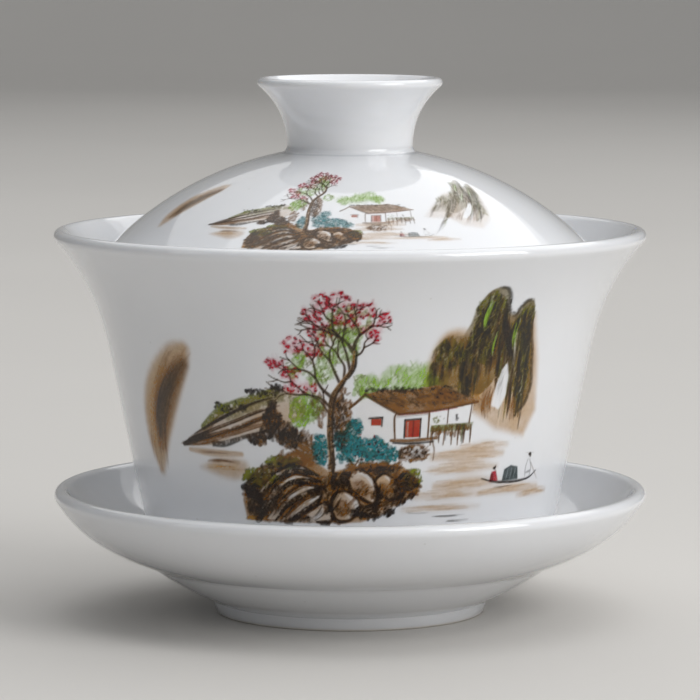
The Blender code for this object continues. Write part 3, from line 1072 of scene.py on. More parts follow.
def cottage(spot: Spot) -> None:
    """A whitewashed cottage under a long brown roof, half of it on stilts over the water.

    Args:
        spot: Where it is painted.
    """
    gable = [(0, 0), (0, 5.2), (1.6, 7.4), (7.0, 4.5), (7.0, 0)]
    front = [(7.0, 0), (7.0, 4.6), (12.9, 4.8), (12.9, 0)]
    porch = [(12.9, 2.0), (12.9, 4.9), (21.2, 5.6), (20.8, 2.2)]
    roof = [
        (1.6, 7.8), (4.5, 8.5), (9.5, 8.4), (14.0, 9.1), (18.0, 7.6), (22.2, 5.8), (17.0, 5.1), (12.5, 4.6),
        (7.6, 4.3),
    ]
    for wall in (gable, front, porch):
        spot.fill(None, wall, 1.0, 0.15)
    spot.fill(OCHRE, gable, 0.05, 0.2)
    spot.fill(UMBER, [(7.0, 3.6), (7.0, 4.6), (12.9, 4.9), (12.9, 4.0)], 0.28, 0.3)
    spot.fill(None, roof, 0.95, 0.15)
    spot.fill(OCHRE, roof, 0.55, 0.2, 0.3)
    spot.fill(UMBER, roof, 0.72, 0.2, 0.45)
    spot.dabs(SOOT, (11.4, 7.0), (8.6, 1.5), 220, 0.3, 0.42, -25, 30, 2.2)
    spot.dabs(OCHRE, (11.4, 6.6), (8.6, 1.6), 80, 0.3, 0.4, -25, 30, 2.0)
    spot.dabs(SOOT, (6.5, 8.5), (5.0, 0.35), 60, 0.38, 0.7)
    spot.dabs(SOOT, (15.5, 8.5), (3.0, 0.4), 26, 0.3, 0.6)
    for line, width in (
        ([(-1.1, 5.4), (0.4, 6.6), (1.6, 7.8)], 0.5), ([(1.6, 7.7), (4.4, 6.0), (7.4, 4.3)], 0.55),
        ([(7.4, 4.3), (12.5, 4.6), (17.0, 5.1), (22.0, 5.8)], 0.42),
        ([(7.0, 4.4), (6.7, 3.4), (6.9, 0)], 0.3), ([(12.9, 4.6), (12.9, 0)], 0.3),
        ([(20.9, 5.5), (20.7, 2.2)], 0.22), ([(16.4, 5.0), (16.4, 2.4)], 0.16),
    ):
        spot.brush(UMBER, line, (width, width), 0.85, 0.15)
        spot.brush(SOOT, line, (width * 0.5, width * 0.5), 0.55, 0.12)
    spot.brush(CRIMSON, [(7.6, 4.15), (13.5, 4.5), (18, 5.0)], (0.22, 0.22), 0.5, 0.12)
    door = [(8.7, 0.2), (8.7, 3.1), (11.3, 3.2), (11.3, 0.2)]
    window = [(2.7, 2.4), (2.7, 3.5), (4.4, 3.5), (4.4, 2.4)]
    for opening in (door, window):
        spot.fill(CRIMSON, opening, 0.85, 0.12)
        spot.fill(OCHRE, opening, 0.8, 0.12)
    spot.fill(None, [(8.9, 0.3), (8.9, 2.9), (9.3, 2.9), (9.3, 0.3)], 0.5, 0.12)
    for line, width, strength in (
        ([(8.6, 0.2), (8.6, 3.2)], 0.3, 0.85), ([(8.6, 3.2), (11.4, 3.3)], 0.3, 0.85),
        ([(11.4, 3.3), (11.4, 0.2)], 0.3, 0.85), ([(10.1, 0.3), (10.1, 3.0)], 0.2, 0.8),
        ([(2.3, 3.6), (4.6, 3.7)], 0.3, 0.85), ([(4.6, 3.7), (4.5, 2.2)], 0.22, 0.85),
    ):
        spot.brush(SOOT, line, (width, width), strength)
    spot.brush(UMBER, [(6.2, -0.3), (10, -0.4), (14.6, -0.1)], (0.5, 0.6, 0.5), 0.85, 0.2)
    spot.brush(SOOT, [(6.6, -0.7), (10, -0.9), (14.0, -0.7)], (0.3, 0.4, 0.3), 0.75, 0.2)
    spot.fill(MOSS, [(13.2, 1.0), (13.4, 2.1), (21.6, 2.3), (21.2, 1.1)], 0.5, 0.3, 0.5)
    spot.dabs(UMBER, (17.4, 1.2), (4.0, 0.9), 70, 0.36, 0.6, 90, 40, 1.6)
    for step in range(7):
        x = 13.6 + 1.25 * step
        stilt = [(x, 1.8), (x + spot.scatter(0.2), -1.2 + spot.scatter(0.5))]
        spot.brush(UMBER, stilt, (0.4, 0.22), 0.75, 0.15)
        spot.brush(SOOT, [(x + 0.15, 1.2), (x + 0.15, -0.6)], (0.2, 0.16), 0.6, 0.12)
    spot.dabs(UMBER, (10.6, -2.6), (3.0, 1.4), 90, 0.5, 0.5, 20, 60, 1.5)
    spot.dabs(SOOT, (10.2, -2.5), (2.6, 1.1), 50, 0.4, 0.6, 20, 60, 1.5)
    spot.dabs(None, (10.8, -2.6), (2.4, 1.0), 16, 0.5, 0.6)
    spot.brush(UMBER, [(13.8, -0.6), (14.3, -2.2), (14.2, -4.0)], (0.3, 0.26, 0.2), 0.6, 0.15)
    spot.dabs(SOOT, (18.2, 3.2), (0.2, 0.6), 9, 0.3, 0.45)
    spot.dabs(MOSS, (14.6, 3.0), (1.2, 0.7), 14, 0.3, 0.4)


# The strokes of a cliff: their share of its depth, as the least and what chance adds, how much
# they crowd towards its top, how far down they start, and how far they sway
STROKE_FALL = (0.12, 0.4)
STROKE_CROWDING = 1.4
STROKE_REACH = 0.85
STROKE_SWAY = 0.5


def cliff_strokes(spot: Spot, tops: Points, drop: float, count: int, strength: float) -> None:
    """Rough downward strokes that give a rock face its grain.

    Args:
        spot: Where the cliff is.
        tops: Line that the strokes hang from.
        drop: Typical depth of the cliff.
        count: Number of strokes.
        strength: Density of a stroke.
    """
    line = curve_through(np.array(tops, float))
    inks = (SOOT, UMBER, SOOT, MOSS, None)
    for _ in range(count):
        x, y = line[int(spot.vary(0, 1) * len(line))]
        fall = drop * spot.vary(*STROKE_FALL)
        sunk = spot.vary(0, 1) ** STROKE_CROWDING * drop * STROKE_REACH
        sway = spot.scatter(STROKE_SWAY)
        start = (x + sway * 0.4 + spot.scatter(0.12), y - sunk + spot.scatter(0.2))
        path = [start, (x + sway, y - sunk - fall * 0.5), (x - 0.25 + sway, y - sunk - fall)]
        ink = inks[int(len(inks) * spot.vary(0, 1))]
        share = 0.5 if ink is None else 1.0
        spot.brush(ink, path, (0.3, 0.55, 0.15), strength * share, 0.2, 0.2)


def peaks(spot: Spot) -> None:
    """Two steep peaks and a rounder ridge, with a waterfall and mist at their feet.

    Args:
        spot: Where it is painted.
    """
    crag = [
        (1.0, 7.2), (-0.8, 9.0), (-1.4, 12.0), (-1.2, 14.6), (-0.6, 17.2), (0.5, 19.4), (1.0, 21.6),
        (2.0, 23.6), (3.0, 24.8), (4.4, 25.4), (5.8, 25.0), (6.6, 23.6), (6.9, 21.6), (7.6, 20.6),
        (8.6, 20.4), (9.2, 21.4),
        (10.2, 22.6), (11.4, 22.7), (12.1, 21.6), (12.6, 19.0), (13.2, 16.2), (13.9, 13.6), (14.3, 10.4),
        (14.6, 7.6), (13.6, 4.6), (12.2, 3.4), (11.2, 2.4), (10.6, 5.0), (9.8, 8.6), (8.4, 11.6), (6.6, 10.4),
        (5.0, 8.2), (3.0, 6.8),
    ]
    ridge = [(-6.8, 8.2), (-6.2, 12.0), (-4.6, 16.0), (-2.4, 17.2), (0.6, 16.2), (1.6, 10.0), (-1.0, 8.0)]
    mist = [(0, 5), (0, 14), (2.0, 22), (8, 20), (12.8, 20), (15.6, 12), (16.6, 3), (14.0, -1.2), (7, 0.5)]
    haze = [(-8.0, 5.5), (-6.4, 13.0), (-3.6, 17.8), (1.0, 17.0), (3.5, 8.0), (0, 4.6)]
    spot.fill(OCHRE, haze, 0.6, 1.8, 0.3, True)
    spot.fill(OCHRE, mist, 0.56, 1.9, 0.3)
    spot.fill(UMBER, ridge, 0.4, 1.4, 0.6, True)
    spot.fill(MOSS, ridge, 0.35, 1.2, 0.6, True)
    spot.fill(UMBER, crag, 0.5, 0.5, 0.7, True)
    spot.fill(MOSS, crag, 0.4, 0.5, 0.8, True)
    cliff_strokes(spot, ridge[1:5], 6.5, 150, 0.42)
    left_face = [
        (-0.6, 12.6), (0.2, 16.6), (1.5, 20.6), (2.6, 22.8), (4.2, 24.0), (5.8, 23.4), (6.6, 21.0),
        (7.4, 18.8),
    ]
    right_face = [(7.8, 18.8), (9.2, 20.0), (10.4, 21.2), (11.5, 21.3), (12.2, 19.0), (12.9, 15.6)]
    cliff_strokes(spot, left_face, 12.5, 330, 0.56)
    cliff_strokes(spot, right_face, 14.0, 270, 0.56)
    faces = (
        (3.6, 21.4, 2.6, 3.0, 90), (2.6, 15.6, 2.4, 3.6, 90), (10.8, 18.6, 1.9, 3.0, 80),
        (12.0, 10.0, 1.6, 5.0, 80), (-3.0, 14.0, 3.0, 2.0, 60),
    )
    spot.clumps(
        faces,
        (MOSS, 1, 0.55, 0.5, 80, 40, 1.8),
        (SOOT, 2, 0.4, 0.55, 80, 40, 2.0),
        (None, 4, 0.3, 0.4, 80, 40, 2.4),
    )
    spot.brush(SOOT, crag[9:18], (0.4, 0.9, 0.9, 0.5), 0.6, 0.4, 0.3)
    spot.brush(SOOT, crag[19:27], (0.4, 0.8, 0.8, 0.5), 0.6, 0.4, 0.3)
    spot.streaks(SOOT, [(6.4, 23.0), (7.0, 18.6), (8.4, 14.6), (9.4, 10.4)], 0.7, 40, 0.4, 0.7, 0.3)
    spot.streaks(SOOT, [(12.0, 20.6), (11.4, 16.0), (11.6, 9.0)], 0.9, 30, 0.35, 0.5, 0.3)
    spot.dabs(UMBER, (6.6, 15.0), (1.6, 3.6), 50, 0.5, 0.5, 80, 30, 2.5)
    for path, wide, count in (
        ([(3.6, 22.8), (2.9, 20.0), (3.1, 17.6)], 0.7, 16), ([(5.6, 17.4), (5.0, 14.6), (5.2, 12.4)], 0.5, 9),
        ([(11.0, 19.4), (10.6, 17.4)], 0.5, 8), ([(9.6, 19.6), (9.2, 16.4), (9.6, 13.6)], 0.5, 9),
        ([(1.4, 15.6), (1.0, 12.0)], 0.3, 5), ([(12.4, 14.0), (12.6, 10.0)], 0.3, 6),
    ):
        spot.streaks(None, path, wide * 0.6, count // 2, 0.36, 0.6, 0.7)
        spot.streaks(LEAF, path, wide * 0.7, count, 0.42, 0.5, 0.7)
    fall = [(8.5, 12.2), (7.4, 10.8), (6.4, 8.4), (5.6, 4.6), (7.4, 3.8), (8.8, 6.4), (9.1, 9.6)]
    spot.fill(None, fall, 0.96, 0.5)
    spot.streaks(SOOT, [(8.4, 11.2), (7.4, 8.0), (6.8, 4.8)], 0.8, 10, 0.16, 0.25, 0.4)
    spot.streaks(UMBER, [(5.0, 7.6), (4.4, 4.6), (5.0, 2.0)], 1.1, 36, 0.3, 0.4, 0.5)
    spot.streaks(UMBER, [(10.6, 6.4), (10.4, 3.6), (10.8, 1.0)], 0.7, 20, 0.3, 0.4, 0.5)
    spot.streaks(UMBER, [(-2, 8.0), (1.6, 5.6), (4.0, 3.0)], 1.4, 30, 0.4, 0.22, 0.4, 0.4)


def river(spot: Spot) -> None:
    """Ochre light on the water in level streaks, with a few grey ripples.

    Args:
        spot: Where it is painted.
    """
    for x, y, length, wide, strength in (
        (-9, 3.4, 15, 2.4, 0.42), (-9, 1.2, 14, 2.2, 0.34), (-8, -1.6, 15, 2.2, 0.4), (2, -3.4, 16, 1.6, 0.4),
        (-12, -3.4, 14, 1.8, 0.3), (-14, -5.6, 16, 1.2, 0.22), (12, -4.6, 10, 1.4, 0.34),
        (-3, 4.8, 10, 1.4, 0.3),
    ):
        path = [(x, y), (x + length / 2, y + 0.2), (x + length, y - 0.1)]
        spot.brush(OCHRE, path, (wide * 0.4, wide, wide * 0.3), strength, 1.5)
        spot.streaks(OCHRE, path, wide * 0.8, 20, 0.32, 0.25, 0.35, 0.3)
    for x, y, length in ((-8, -7.0, 7), (-5, -7.9, 6), (4, -1.8, 7), (5, -2.7, 6), (-13, -6.2, 5)):
        spot.streaks(SOOT, [(x, y), (x + length / 2, y - 0.1), (x + length, y)], 0.25, 4, 0.2, 0.3, 0.7)


def boat(spot: Spot) -> None:
    """A covered boat with a seated passenger and a boatman.

    Args:
        spot: Where it is painted.
    """
    spot.fill(None, [(0.2, 0.4), (14.2, 0.6), (12.6, -0.6), (2.4, -0.7)], 0.7, 0.4)
    hull = [(-0.6, 0.5), (3, -0.35), (8, -0.65), (12.2, -0.4), (14.4, 0.7)]
    spot.brush(SOOT, hull, (0.18, 0.4, 0.42, 0.34, 0.16), 0.8, 0.14)
    awning = [(4.6, -0.3), (4.8, 1.7), (6.4, 2.3), (8.3, 1.9), (8.9, -0.3)]
    spot.fill(SOOT, awning, 0.62, 0.25, 0.3)
    spot.fill(TURQUOISE, awning, 0.3, 0.25)
    for x in (5.6, 6.6, 7.6):
        spot.brush(None, [(x, 0.1), (x + 0.2, 1.7)], (0.2, 0.2), 0.45, 0.12)
    spot.fill(CRIMSON, [(1.4, -0.2), (1.7, 1.5), (2.7, 1.7), (3.5, -0.2)], 0.78, 0.2)
    spot.fill(SOOT, [(1.4, -0.2), (1.6, 1.2), (2.2, 1.3), (2.4, -0.2)], 0.5, 0.2)
    spot.dabs(SOOT, (2.3, 2.2), (0.12, 0.12), 3, 0.5, 0.8)
    for edge in ([(11.2, 3.0), (10.8, 1.6), (11.0, -0.2)], [(11.7, 2.9), (12.5, 1.4), (12.4, -0.1)]):
        spot.brush(SOOT, edge, (0.16, 0.2, 0.16), 0.42, 0.14)
    spot.brush(SOOT, [(11.2, 0.6), (12.3, 0.8)], (0.3, 0.4), 0.35, 0.2)
    spot.dabs(SOOT, (11.5, 3.8), (0.1, 0.1), 3, 0.5, 0.75)
    spot.brush(UMBER, [(12.3, 2.2), (13.6, 0.8), (15.2, -0.8)], (0.14, 0.14, 0.12), 0.5, 0.12)
    spot.brush(UMBER, [(10.2, 4.2), (12.8, 3.9)], (0.12, 0.12), 0.25, 0.12)


# How the tooth of the glaze breaks a film: what is left where it takes least, and the rest
BROKEN_LEAST, BROKEN_MORE = 0.86, 0.28


def layered(canvas: Canvas) -> Canvas:
    """Breaks every film up a little with the tooth of the glaze.

    Args:
        canvas: The painted sheet, which is changed.

    Returns:
        The same sheet.
    """
    for ink, film in canvas.paint.items():
        film *= BROKEN_LEAST + BROKEN_MORE * canvas.tooth.astype(np.float32)
        np.clip(film, 0, 1, out=film)
    return canvas


@dataclass(frozen=True)
class BowlLandscape:
    """The landscape on the bowl's front wall, in millimetres along and up the wall."""

    seed: int = 41

    def paint(self) -> Canvas:
        """Paints every motif, the far ones first.

        Returns:
            The painted sheet.
        """
        canvas = Canvas(-49.0, 47.0, 19.0, 65.0, self.seed)
        far_hill(Spot(canvas, -42.4, 26.0, 0.93))
        islet(Spot(canvas, -33.2, 33.2))
        sand_bar(Spot(canvas, -24.2, 29.8))
        river(Spot(canvas, 24.0, 28.6))
        peaks(Spot(canvas, 20.6, 35.8, lean=-0.07))
        bamboo(Spot(canvas, 7.2, 44.0))
        cottage(Spot(canvas, 1.0, 35.5))
        scrub(Spot(canvas, -17.6, 34.2))
        rock_island(Spot(canvas, -3.4, 20.9))
        shrubs(Spot(canvas, -0.6, 33.2))
        blossoming_tree(Spot(canvas, -3.2, 27.4))
        boat(Spot(canvas, 26.4, 27.2))
        return layered(canvas)


@dataclass(frozen=True)
class LidLandscape:
    """The same landscape, smaller and spread out, in millimetres round and up the dome."""

    seed: int = 43

    def paint(self) -> Canvas:
        """Paints every motif, the far ones first.

        Returns:
            The painted sheet.
        """
        canvas = Canvas(-43.0, 34.0, 3.0, 34.0, self.seed)
        far_hill(Spot(canvas, -36.0, 9.6, 0.52, 0.8, -0.1))
        islet(Spot(canvas, -24.0, 12.0, 0.56, 0.9))
        sand_bar(Spot(canvas, -19.4, 10.0, 0.56))
        river(Spot(canvas, 5.6, 11.2, 0.5, 0.9))
        # Light brush load on the peaks: partly paler paint, partly a painted highlight for a soft box's
        # reflection that washes out the right of the dome
        peaks(Spot(canvas, 14.8, 11.8, 0.54, 0.34, 0.72))
        bamboo(Spot(canvas, 1.4, 19.6, 0.62))
        cottage(Spot(canvas, -1.4, 13.6, 0.56, 0.6, 0.1))
        scrub(Spot(canvas, -14.8, 12.8, 0.5))
        rock_island(Spot(canvas, -6.8, 6.8, 0.52, 1.2))
        shrubs(Spot(canvas, -5.0, 13.2, 0.6, 0.5))
        blossoming_tree(Spot(canvas, -6.8, 11.0, 0.56, 1.0, -0.04))
        boat(Spot(canvas, 6.8, 10.0, 0.42, 0.6))
        return layered(canvas)


# ---------------------------------------------------------------- enamel on the fired pieces


# Cover below which a film has no colour of its own, and above which a cell counts as painted
LEAST_COVER = 0.02
PAINTED_COVER = 0.012

# Cells by which reading stops short of the canvas's far edges, so that each cell has a neighbour
PAST_EDGE = 1.001


def ink_over_ground_group() -> bpy.types.NodeTree:
    """One film of enamel over what lies under it, as a filter over light.

    Returns:
        The group, with inputs Ground, Ink, Density and Grain and the output Colour.
    """
    sheet, given, made = shader_group(
        "ink_over_ground",
        [
            ("Ground", "Color", (1, 1, 1, 1)),
            ("Ink", "Color", (0.5, 0.5, 0.5, 1)),
            ("Density", "Float", 0.0),
            ("Grain", "Float", 1.0),
        ],
        [("Colour", "Color", None)],
    )
    density = sheet.math("MINIMUM", sheet.math("MULTIPLY", given["Density"], given["Grain"]), 1.0)
    sheet.plug(sheet.mix(density, given["Ground"], given["Ink"], "MULTIPLY"), made["Colour"])
    return sheet.tree


def film_group() -> bpy.types.NodeTree:
    """Splits a filtered white into the film's own colour and how much it covers.

    Returns:
        The group, with inputs Filtered and Body and outputs Colour and Cover.
    """
    sheet, given, made = shader_group(
        "enamel_film",
        [("Filtered", "Color", (1, 1, 1, 1)), ("Body", "Color", (0.8, 0.8, 0.8, 1))],
        [("Colour", "Color", None), ("Cover", "Float", None)],
    )
    split = sheet.node("SeparateColor")
    sheet.plug(given["Filtered"], split.inputs[0])
    red, green, blue = split.outputs
    darkest = sheet.math("MINIMUM", sheet.math("MINIMUM", red, green), blue)
    cover = sheet.math("SUBTRACT", 1.0, darkest)
    safe = sheet.math("MAXIMUM", cover, LEAST_COVER)
    own = sheet.node("CombineColor")
    for channel, target in zip((red, green, blue), own.inputs):
        sheet.plug(sheet.math("DIVIDE", sheet.math("SUBTRACT", channel, darkest), safe), target)
    sheet.plug(sheet.mix(1.0, own.outputs[0], given["Body"], "MULTIPLY"), made["Colour"])
    sheet.plug(cover, made["Cover"])
    return sheet.tree


@dataclass(frozen=True)
class Enamels:
    """The fired enamels: thin coloured glass over the glaze, a little duller than it."""

    name: str
    body: tuple[float, float, float, float]
    strength: float = 1.0
    grain_scale: float = 7000.0
    grain_depth: float = 0.35
    dullness: float = 0.12
    roughness: float = 0.06
    ior: float = 1.46
    coat: float = 0.15
    coat_roughness: float = 0.05

    def material(self, over: bpy.types.NodeTree, film: bpy.types.NodeTree) -> bpy.types.Material:
        """The enamels as a material that reads one attribute for each ink.

        Args:
            over: The shared ink_over_ground group.
            film: The shared enamel_film group.

        Returns:
            The new material.
        """
        made, sheet, shader = finish(self.name)
        noise = sheet.noise(sheet.place(), self.grain_scale, 2.0)
        spread = sheet.math("MULTIPLY", sheet.math("SUBTRACT", noise, 0.5), 2 * self.grain_depth)
        grain = sheet.math("ADD", spread, self.strength)
        seen: object = (1.0, 1.0, 1.0, 1.0)
        for ink in Ink:
            density = sheet.node("Attribute", attribute_name=ink.name.lower())
            group = sheet.node("Group", node_tree=over)
            sheet.plug(seen, group.inputs["Ground"])
            group.inputs["Ink"].default_value = (*ink.value, 1.0)
            sheet.plug(density.outputs["Fac"], group.inputs["Density"])
            sheet.plug(grain, group.inputs["Grain"])
            seen = group.outputs["Colour"]
        split = sheet.node("Group", node_tree=film)
        sheet.plug(seen, split.inputs["Filtered"])
        split.inputs["Body"].default_value = self.body
        sheet.plug(split.outputs["Colour"], shader.inputs["Base Color"])
        sheet.plug(split.outputs["Cover"], shader.inputs["Alpha"])
        duller = sheet.math("MULTIPLY", split.outputs["Cover"], self.dullness)
        sheet.plug(sheet.math("ADD", duller, self.roughness), shader.inputs["Roughness"])
        set_inputs(shader, {
            "IOR": self.ior, "Coat Weight": self.coat, "Coat Roughness": self.coat_roughness
        })
        return made


def evenly(outline: list[Vector], pitch: float) -> list[Vector]:
    """An outline's points laid out again at an even pitch.

    Args:
        outline: The outline.
        pitch: About how far apart the points are.

    Returns:
        The new points, both ends included.
    """
    points = np.array([tuple(point) for point in outline])
    far = np.concatenate([[0], np.cumsum(np.hypot(*np.diff(points, axis=0).T))])
    marks = np.linspace(0, far[-1], max(2, round(far[-1] / pitch) + 1))
    across, upward = (np.interp(marks, far, points[:, side]) for side in (0, 1))
    return [Vector(pair) for pair in zip(across, upward)]


@dataclass(frozen=True)
class PaintedPatch:
    """A landscape fired on a turned face: a fine sheet of enamel that lies on the glaze."""

    name: str
    face: list[Vector]
    canvas: Canvas
    measure_r: float
    up_of: Callable[[np.ndarray], np.ndarray]
    pitch: float = 0.18 * MM
    proud: float = 0.02 * MM
    relief: float = 0.03 * MM
    margin: float = 0.5

    def read(self, layer: np.ndarray, places: np.ndarray) -> np.ndarray:
        """A canvas layer at places on the face, blended between cells.

        Args:
            layer: One value for each cell.
            places: Places, one row each, in metres.

        Returns:
            One value for each place.
        """
        across = np.arctan2(places[:, 0], -places[:, 1]) * self.measure_r / MM
        column = (across - self.canvas.left) / self.canvas.cell
        row = (self.up_of(places) / MM - self.canvas.bottom) / self.canvas.cell
        row = np.clip(row, 0, layer.shape[0] - PAST_EDGE)
        column = np.clip(column, 0, layer.shape[1] - PAST_EDGE)
        low_row, low_column = row.astype(int), column.astype(int)
        down, along = row - low_row, column - low_column
        near = layer[low_row, low_column] * (1 - along) + layer[low_row, low_column + 1] * along
        far = layer[low_row + 1, low_column] * (1 - along) + layer[low_row + 1, low_column + 1] * along
        return near * (1 - down) + far * down

    def cover(self) -> np.ndarray:
        """How much of each canvas cell is painted, all inks together.

        Returns:
            One value from 0 to 1 for each cell.
        """
        bare = np.ones_like(self.canvas.tooth)
        for film in self.canvas.paint.values():
            bare = bare * (1 - film)
        return 1 - bare

    def near_paint(self) -> np.ndarray:
        """Which cells lie within the margin of some paint.

        Returns:
            1 in each such cell, else 0.
        """
        reach = int(self.margin / self.canvas.cell)
        painted = np.pad((self.cover() > PAINTED_COVER).astype(float), reach + 1)
        total = painted.cumsum(0).cumsum(1)
        size = 2 * reach + 1
        box = total[size:, size:] - total[:-size, size:] - total[size:, :-size] + total[:-size, :-size]
        rows, columns = self.canvas.tooth.shape
        return (box[:rows, :columns] > 0.5).astype(float)

    def wrapped(self, flat: np.ndarray) -> np.ndarray:
        """A flat unit sheet wrapped round the face.

        Args:
            flat: Places on the flat sheet, one row each, from -0.5 to 0.5 both ways.

        Returns:
            The same places on the face, in metres.
        """
        line = np.array([tuple(point) for point in evenly(offset(self.face, -self.proud), self.pitch)])
        left, right = self.canvas.across[[0, -1]] * MM / self.measure_r
        azimuth = left + (right - left) * (flat[:, 0] + 0.5)
        mark = (flat[:, 1] + 0.5) * (len(line) - 1)
        radius, height = (np.interp(mark, np.arange(len(line)), line[:, side]) for side in (0, 1))
        return np.column_stack([radius * np.sin(azimuth), -radius * np.cos(azimuth), height])

    def build(self) -> bpy.types.Object:
        """Wraps the sheet, trims what is bare and stores each ink's density on it.

        Returns:
            The sheet as a new object.
        """
        line = evenly(self.face, self.pitch)
        span = (self.canvas.across[-1] - self.canvas.across[0]) * MM / self.measure_r
        columns = round(span * max(point.x for point in line) / self.pitch)
        work = bmesh.new()
        bmesh.ops.create_grid(work, x_segments=columns, y_segments=len(line) - 1, size=0.5)
        places = self.wrapped(np.array([vert.co for vert in work.verts]))
        for vert, place in zip(work.verts, places):
            vert.co = place
        kept = self.read(self.near_paint(), places) > 0.5
        bare = [vert for vert, keep in zip(work.verts, kept) if not keep]
        bmesh.ops.delete(work, geom=bare, context="VERTS")
        loose = [vert for vert in work.verts if not vert.link_faces]
        bmesh.ops.delete(work, geom=loose, context="VERTS")
        work.normal_update()
        first = next(iter(work.faces))
        if first.normal.xy.dot(first.calc_center_median().xy) < 0:
            bmesh.ops.reverse_faces(work, faces=work.faces)
        piece = linked(self.name, work)
        self.fire(piece.data)
        return piece

    def fire(self, mesh: bpy.types.Mesh) -> None:
        """Raises the sheet where the enamel is thick, and stores each ink's density.

        Args:
            mesh: The trimmed sheet.
        """
        places = np.empty(3 * len(mesh.vertices), np.float32)
        mesh.vertices.foreach_get("co", places)
        places = places.reshape(-1, 3).astype(float)
        normals = np.empty(3 * len(mesh.vertices), np.float32)
        mesh.vertex_normals.foreach_get("vector", normals)
        for ink, film in self.canvas.paint.items():
            layer = mesh.attributes.new(ink.name.lower(), "FLOAT", "POINT")
            layer.data.foreach_set("value", self.read(film, places).astype(np.float32))
        raised = places + self.relief * self.read(self.cover(), places)[:, None] * normals.reshape(-1, 3)
        mesh.vertices.foreach_set("co", raised.astype(np.float32).ravel())
        mesh.update()


# The glaze's patterns: scales per metre, and where each sets in and is full
CLOUD_SCALE, CLOUD_EDGES = 45.0, (0.3, 0.7)
RIPPLE_SCALE = 110.0
ROUGH_SCALE, ROUGH_SPREAD, ROUGH_LEAST = 260.0, 0.05, 0.045
PINHOLE_SCALE, PINHOLE_EDGES = 160.0, (0.02, 0.05)
PINHOLE_SHADE, PINHOLE_DEPTH = 0.25, 0.5
PINHOLE_COLOUR = (0.45, 0.43, 0.4, 1)


def glaze_flow_group() -> bpy.types.NodeTree:
    """How a fired glaze varies: faint clouds in its white, a soft ripple and rare pinholes.

    Returns:
        The group, with inputs Body, Cloud and Ripple and outputs Colour, Roughness and Height.
    """
    sheet, given, made = shader_group(
        "glaze_flow",
        [("Body", "Color", (0.8, 0.8, 0.8, 1)), ("Cloud", "Float", 0.03), ("Ripple", "Float", 1.0)],
        [("Colour", "Color", None), ("Roughness", "Float", None), ("Height", "Float", None)],
    )
    place = sheet.place()
    cloud = sheet.ramp(sheet.noise(place, CLOUD_SCALE), *CLOUD_EDGES)
    shade = sheet.math("SUBTRACT", 1.0, sheet.math("MULTIPLY", cloud, given["Cloud"]))
    grey = sheet.node("CombineColor")
    for channel in grey.inputs[:3]:
        sheet.plug(shade, channel)
    tint = sheet.mix(1.0, given["Body"], grey.outputs[0], "MULTIPLY")
    speck = sheet.node("TexVoronoi", feature="F1")
    sheet.plug(place, speck.inputs["Vector"])
    speck.inputs["Scale"].default_value = PINHOLE_SCALE
    pinhole = sheet.math("SUBTRACT", 1.0, sheet.ramp(speck.outputs["Distance"], *PINHOLE_EDGES))
    ripple = sheet.math("MULTIPLY", sheet.noise(place, RIPPLE_SCALE, 1.0), given["Ripple"])
    darker = sheet.math("MULTIPLY", pinhole, PINHOLE_SHADE)
    sheet.plug(sheet.mix(darker, tint, PINHOLE_COLOUR), made["Colour"])
    rough = sheet.math("MULTIPLY", sheet.noise(place, ROUGH_SCALE), ROUGH_SPREAD)
    sheet.plug(sheet.math("ADD", rough, ROUGH_LEAST), made["Roughness"])
    pit = sheet.math("MULTIPLY", pinhole, PINHOLE_DEPTH)
    sheet.plug(sheet.math("SUBTRACT", ripple, pit), made["Height"])
    return sheet.tree


def near_ring_mask(
    sheet: NodeSheet, radius: float, height: float, reach: float, fade: float
) -> bpy.types.NodeSocket:
    """A mask that is 1 on a ring about the axis and fades out around it.

    Args:
        sheet: Where the nodes go.
        radius: Radius of the ring.
        height: Height of the ring.
        reach: How far from the ring the mask stays 1.
        fade: How far past that it fades to 0.

    Returns:
        The mask's socket.
    """
    split = sheet.node("SeparateXYZ")
    sheet.plug(sheet.place(), split.inputs[0])
    x, y, z = split.outputs
    square = sheet.math("ADD", sheet.math("MULTIPLY", x, x), sheet.math("MULTIPLY", y, y))
    across = sheet.math("SUBTRACT", sheet.math("SQRT", square), radius)
    up = sheet.math("SUBTRACT", z, height)
    away = sheet.math("ADD", sheet.math("MULTIPLY", across, across), sheet.math("MULTIPLY", up, up))
    return sheet.math("SUBTRACT", 1.0, sheet.ramp(sheet.math("SQRT", away), reach, reach + fade))


@dataclass(frozen=True)
class Band:
    """A ring about the axis where the glaze changes, such as a bare foot or a luting line."""

    radius: float
    height: float
    reach: float
    fade: float
    colour: tuple[float, float, float, float]
    strength: float
    roughness: float


def bare_foot(foot_r: float, foot_width: float, base: float) -> Band:
    """The flat of a foot ring, wiped free of glaze before firing.

    Args:
        foot_r: Outer radius of the flat.
        foot_width: Width of the flat.
        base: Height of the flat.

    Returns:
        The ring where the porcelain is bare.
    """
    middle, reach = foot_r - foot_width / 2, foot_width / 2
    return Band(middle, base, reach, fade=0.3 * MM, colour=BARE_PORCELAIN, strength=0.9, roughness=0.55)


